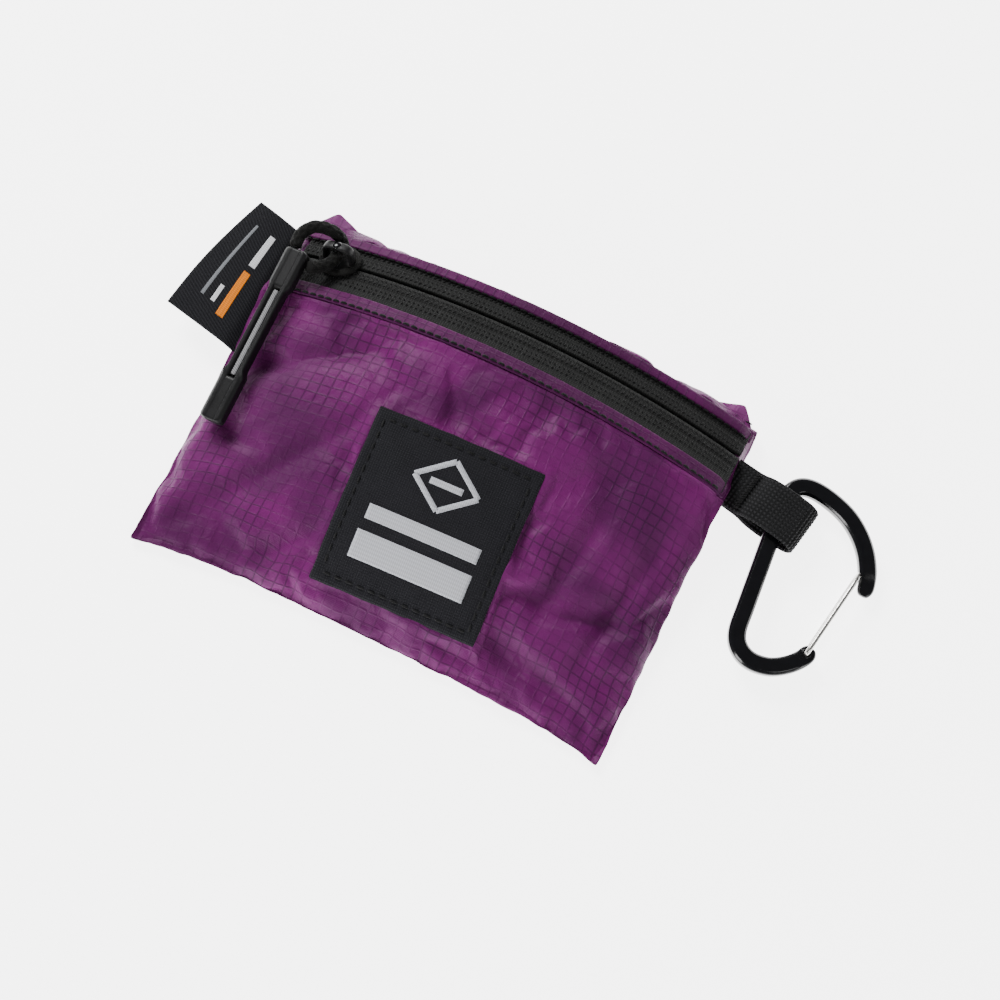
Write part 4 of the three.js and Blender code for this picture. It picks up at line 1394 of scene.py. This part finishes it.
def tag_point(s, t, height=0.0):
    """s runs from the seam to the free edge, t down the tag."""
    root = np.array([TAG_ROOT_X, lerp(39.4, 4.6, t), TAG_Z])
    bow = 1.1 * math.sin(t * math.pi)
    x, y = (lerp(top, bottom, t) for top, bottom in zip(TAG_TOP, TAG_BOTTOM))
    free = np.array([x - bow, y, TAG_Z - 1.0])
    p = lerp(root, free, s)
    p[2] += 0.42 * math.sin(math.pi * s) + 0.25 * wander(p[0] * 0.08, p[1] * 0.08, 71.0) * s
    p[2] -= 1.6 * (1 - smoothstep(s, 0.0, 0.22))
    return p + np.array([0, 0, height])


def tag_bar(name, s_range, t_range, paint):
    """A bar of coloured yarn woven into the tag."""
    grid = (10, 30)
    spots = [(lerp(*s_range, s), lerp(*t_range, t)) for s, t in lattice(*grid)]
    points = [tag_point(s, t, 0.5) for s, t in spots]
    flat = [(t * TAG_LENGTH, s * TAG_WIDTH, 0) for s, t in spots]
    return piece(name, points, grid_faces(*grid), paint, "tag", "tag_weave", flat=flat, thickness=0.12)


def side_tag():
    grid = (44, 70)
    points, flat = [], []
    for s, t in lattice(*grid):
        edge = min(min(t, 1 - t) * TAG_LENGTH, (1 - s) * TAG_WIDTH)
        points.append(tag_point(s, t, 0.42 - 0.18 * (1 - smoothstep(edge, 0, 0.6))))
        flat.append((s * TAG_WIDTH, t * TAG_LENGTH, 0))
    made = piece(
        "tag", points, grid_faces(*grid), "tag", None, "tag_weave",
        flat=flat, thickness=0.7, subdivide=1,
    )
    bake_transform(made)
    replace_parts(made, "side_tag")
    tag_bar("tag_bar_light", (0.36, 0.46), (0.16, 0.43), "yarn_light")
    tag_bar("tag_bar_orange", (0.36, 0.46), (0.48, 0.86), "yarn_orange")
    tag_bar("tag_bar_grey", (0.70, 0.745), (0.16, 0.80), "yarn_grey")
    tag_bar("tag_bar_short", (0.545, 0.60), (0.66, 0.80), "yarn_light")


# ---- webbing loop ---------------------------------------------------------------------------

STRAP_ROOT = (61.8, 29.1, 5.0)
STRAP_TURN = math.radians(-10)
STRAP_HALF = 6.0
PLY = 1.15
WEBBING_STEP = 0.17
WEBBING_PITCH = 1.0
EYE_HALF = 3.25


def strap_point(x, y, z):
    return np.array(STRAP_ROOT) + np.array([*turned(x, y, STRAP_TURN), z])


def strap_line():
    """The middle of the webbing as it runs from the seam, round the carabiner and back."""
    mid = EYE_HALF + PLY / 2
    fold = 20.6 - PLY / 2
    half = [
        (-2.4, -0.72), (2.0, -0.86), (4.6, -1.3), (7.0, -3.0),
        (10.0, -mid), (14.2, -mid), (17.6, -mid * 0.86), (19.4, -mid * 0.5),
    ]
    both = half + [(fold, 0.0)] + [(x, -z) for x, z in reversed(half)]
    return even(catmull([(x, 0, z) for x, z in both], 8), WEBBING_STEP)


def webbing():
    """Ladder-weave webbing with raised picks across it and a firm edge."""
    line = strap_line()
    _, side, _ = frames_along(line, (0, 1, 0))
    across = np.linspace(-STRAP_HALF, STRAP_HALF, 72)
    rings, flat = [], []
    for i, (p, s) in enumerate(zip(line, side)):
        along = i * WEBBING_STEP
        section = []
        for face in (1, -1):
            for y in across[:: face]:
                edge = 1 - (abs(y) / STRAP_HALF) ** 10 * 0.75
                pick = abs(math.sin(math.pi * along / WEBBING_PITCH))
                rib = abs(math.sin(math.pi * y / WEBBING_PITCH))
                height = (PLY / 2 - 0.24) * edge + 0.28 * pick * rib
                section.append(strap_point(*(p + s * face * height + np.array([0, y, 0]))))
                flat.append((along, y, 0))
        rings.append(section)
    made = piece("webbing", *tube_mesh(rings), "webbing", None, "webbing", flat=flat)
    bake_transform(made)
    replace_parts(made, "webbing_loop")
    parts = []
    for k in range(15):
        y = lerp(-4.8, 4.8, k / 14)
        z = 0.86 + PLY / 2 + 0.42
        start, end = strap_point(3.0, y - 0.3, z), strap_point(4.2, y + 0.3, z + 0.18)
        parts.append(stitch(start, end, (0, 0, 1), 0.28))
    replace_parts(sewing("bartack", parts, "strap"), "webbing_bartack")


# ---- carabiner ------------------------------------------------------------------------------

HOOK_PIVOT = np.array(joint("carabiner_swing")["pos_m"]) / MM
HOOK_DIP = math.radians(4.6)
HOOK_TURN = math.radians(5.4)
HOOK_ROUTE = (
    (18.3, -26.6), (17.0, -29.6), (14.0, -32.6), (9.9, -34.7), (5.2, -34.9), (1.7, -32.9), (0.1, -29.4),
    (0, -23.5), (0, -14.5), (0, -5.5), (0, 2.5), (0.7, 7.3), (3.3, 9.8), (8.0, 9.8),
    (14.6, 7.5), (19.2, 4.2), (22.7, -0.1), (24.9, -5.0), (25.5, -7.9), (25.3, -10.4),
)
GATE_PIVOT = np.array([17.2, -28.6, 0])
GATE_TIP = np.array([23.0, -5.4, 0])
HOOK_STEP = 0.75
WIRE_RADIUS = 0.62
WIRE_SPREAD = 2.2


def place_hook(p):
    """From the carabiner's own plane (x away from its spine, y along it) to where it lies."""
    x, y, z = p
    x, z = turned(x, z, -HOOK_DIP)
    return HOOK_PIVOT + np.array([*turned(x, y, HOOK_TURN), z])


def hook_section(width, thick, chamfer):
    """An outline with flat faces and chamfered, softly rounded corners."""
    corner = [
        (thick, width - chamfer - 0.12), (thick - 0.06, width - chamfer + 0.06),
        (thick - chamfer / 2, width - chamfer / 2),
        (thick - chamfer + 0.06, width - 0.06), (thick - chamfer - 0.12, width),
    ]
    mirrored = [(-z, x) for z, x in reversed(corner)]
    half = corner + mirrored
    return half + [(-z, -x) for z, x in half]


def carabiner():
    line = even(catmull([(x, y, 0) for x, y in HOOK_ROUTE], 10), HOOK_STEP)
    _, side, top = frames_along(line, (0, 0, 1))
    length = (len(line) - 1) * HOOK_STEP
    rings = []
    for i, (p, s, n) in enumerate(zip(line, side, top)):
        here = i * HOOK_STEP
        left = length - here
        at_pivot = 1 - smoothstep(here, 2.6, 5.6)
        at_nose = 1 - smoothstep(left, 3.2, 6.4)
        thick = 1.8 - 0.78 * at_pivot - 0.75 * at_nose
        end = min(1.0, math.sqrt(max(0.0, min(here + 0.12, left + 0.12) / 1.9)))
        width = 2.2 * (0.35 + 0.65 * end) * (1 - 0.06 * at_nose)
        section = hook_section(width, thick * (0.75 + 0.25 * end), min(0.75, thick * 0.5, width * 0.5))
        rings.append([place_hook(p + s * x + n * z) for z, x in section])
    made = piece("carabiner", *tube_mesh(rings), "metal", "carabiner", "carabiner_metal", subdivide=1)
    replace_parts(made, "carabiner_frame")
    parts = []
    for sign in (-1, 1):
        rim = [
            place_hook(GATE_PIVOT + np.array([math.cos(a), math.sin(a), sign * 1.02]))
            for a in np.linspace(0, 2 * math.pi, 25)
        ]
        parts.append(tube_mesh(round_rings(rim, 0.2, 8, (0, 0, 1)), capped=False))
    piece("gate_eyelets", *joined(parts), "metal", "carabiner", "carabiner_metal")


def gate():
    def leg(t, z):
        return lerp(GATE_PIVOT, GATE_TIP, t) + np.array([0, 0, z])

    half = [
        leg(0, 0.55), leg(0, WIRE_SPREAD - 0.6), leg(0.03, WIRE_SPREAD - 0.1), leg(0.12, WIRE_SPREAD),
        leg(0.45, WIRE_SPREAD), leg(0.8, WIRE_SPREAD - 0.1), leg(0.94, WIRE_SPREAD - 0.75),
    ]
    other = [np.array([p[0], p[1], -p[2]]) for p in reversed(half)]
    line = even(catmull([*half, leg(1, 0), *other], 12, 0.42), 0.35)
    rings = [
        [place_hook(q) for q in ring(p, s, t, WIRE_RADIUS, WIRE_RADIUS, 14)]
        for p, s, t in zip(line, *turned_frames(line))
    ]
    made = piece("gate", *tube_mesh(rings), "steel", "gate", "gate_wire")
    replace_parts(made, "wire_gate")


# ---- the ears' stitches, and the CAD pieces that stay -----------------------------------------

def ear_stitches():
    parts = []
    for node in ("left_ear_stitch", "right_ear_stitch"):
        low, high = cad_box(node)
        y = 45.3
        for k in range(3):
            x = lerp(low[0] - 2.5, high[0] + 0.5, k / 2)
            parts.append(stitch((x, y, 3.95), (x + 1.7, y - 0.2, 3.95), (0, 0, 1), 0.22))
    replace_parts(sewing("ear_sewing", parts), "left_ear_stitch", "right_ear_stitch")


def repaint():
    """The coils and the stops keep their CAD shape and get their own paint."""
    for node, paint in (
        ("zipper_coil_lower", "coil"), ("zipper_coil_upper", "coil"),
        ("zip_stop_left", "metal"), ("zip_stop_right", "metal"),
    ):
        mesh = frame["nodes"][node].data
        mesh.materials.clear()
        mesh.materials.append(PAINTS[paint])


def make_paints():
    PAINTS.update({
        "ripstop": ripstop("purple_ripstop", 1.0),
        # a darker, duller copy of the ripstop: painted shade on the hem folds and end folds
        "layers": ripstop("purple_ripstop_painted_shade", 0.45),
        "tape": knit("zipper_tape_knit", (0.003, 0.003, 0.003), (0.040, 0.041, 0.040), 0.62, 0.5, 0.16),
        "patch": knit("patch_weave", (0.004, 0.004, 0.005), (0.022, 0.022, 0.026), 0.62, 0.62, 0.12),
        # on the webbing the light colour of the raised picks is partly painted highlight
        "webbing": knit(
            "webbing_yarn", (0.0004, 0.0004, 0.0004), (0.034, 0.034, 0.036), 1.0, 1.0, 0.22, fuzzy=0.12,
        ),
        "cord": knit("cord_yarn", (0.002, 0.002, 0.002), (0.014, 0.014, 0.013), 0.4, 0.3, 0.06),
        "tag": twill("tag_twill", (0.0012, 0.0012, 0.0018), (0.019, 0.019, 0.023)),
        "thread": thread(),
        "metal": gloss_metal(),
        "satin": satin_metal(),
        "steel": steel(),
        "moulded": moulded(),
        "strip": grey_strip(),
        "coil": nylon_coil(),
        "binding": binding_tape(),
        "print": woven_yarn("light_grey_yarn", (0.62, 0.63, 0.68)),
        "yarn_light": woven_yarn("white_yarn", (0.85, 0.85, 0.88)),
        "yarn_orange": woven_yarn("orange_yarn", (0.95, 0.25, 0.001)),
        "yarn_grey": woven_yarn("grey_yarn", (0.22, 0.23, 0.25)),
    })


# ---- the scene ------------------------------------------------------------------------------

make_camera()
make_studio()
make_paints()
front_cloth()
back_cloth()
hem("front_hem_fold", HEM_LOWER[0], HEM_LOWER[1] + 0.3, -1, "front_hem", 0.75)
hem("back_hem_fold", HEM_UPPER[0], HEM_UPPER[1] + 0.5, 1, "back_hem", 0.7)
end_fold("left_end_fold", TAPE_ENDS[0] + 1.2, LEFT_X - 0.1)
end_fold("right_end_fold", TAPE_ENDS[1] - 1.2, RIGHT_X + 0.1)
hem_stitching()
tape("lower_tape", 12.0, -1, "zipper_tape_lower")
tape("upper_tape", 7.6, 1, "zipper_tape_upper")
tape_stitches()
slider_pieces()
pull_cord()
pull_grip()
patch()
side_tag()
webbing()
carabiner()
gate()
ear_stitches()
repaint()
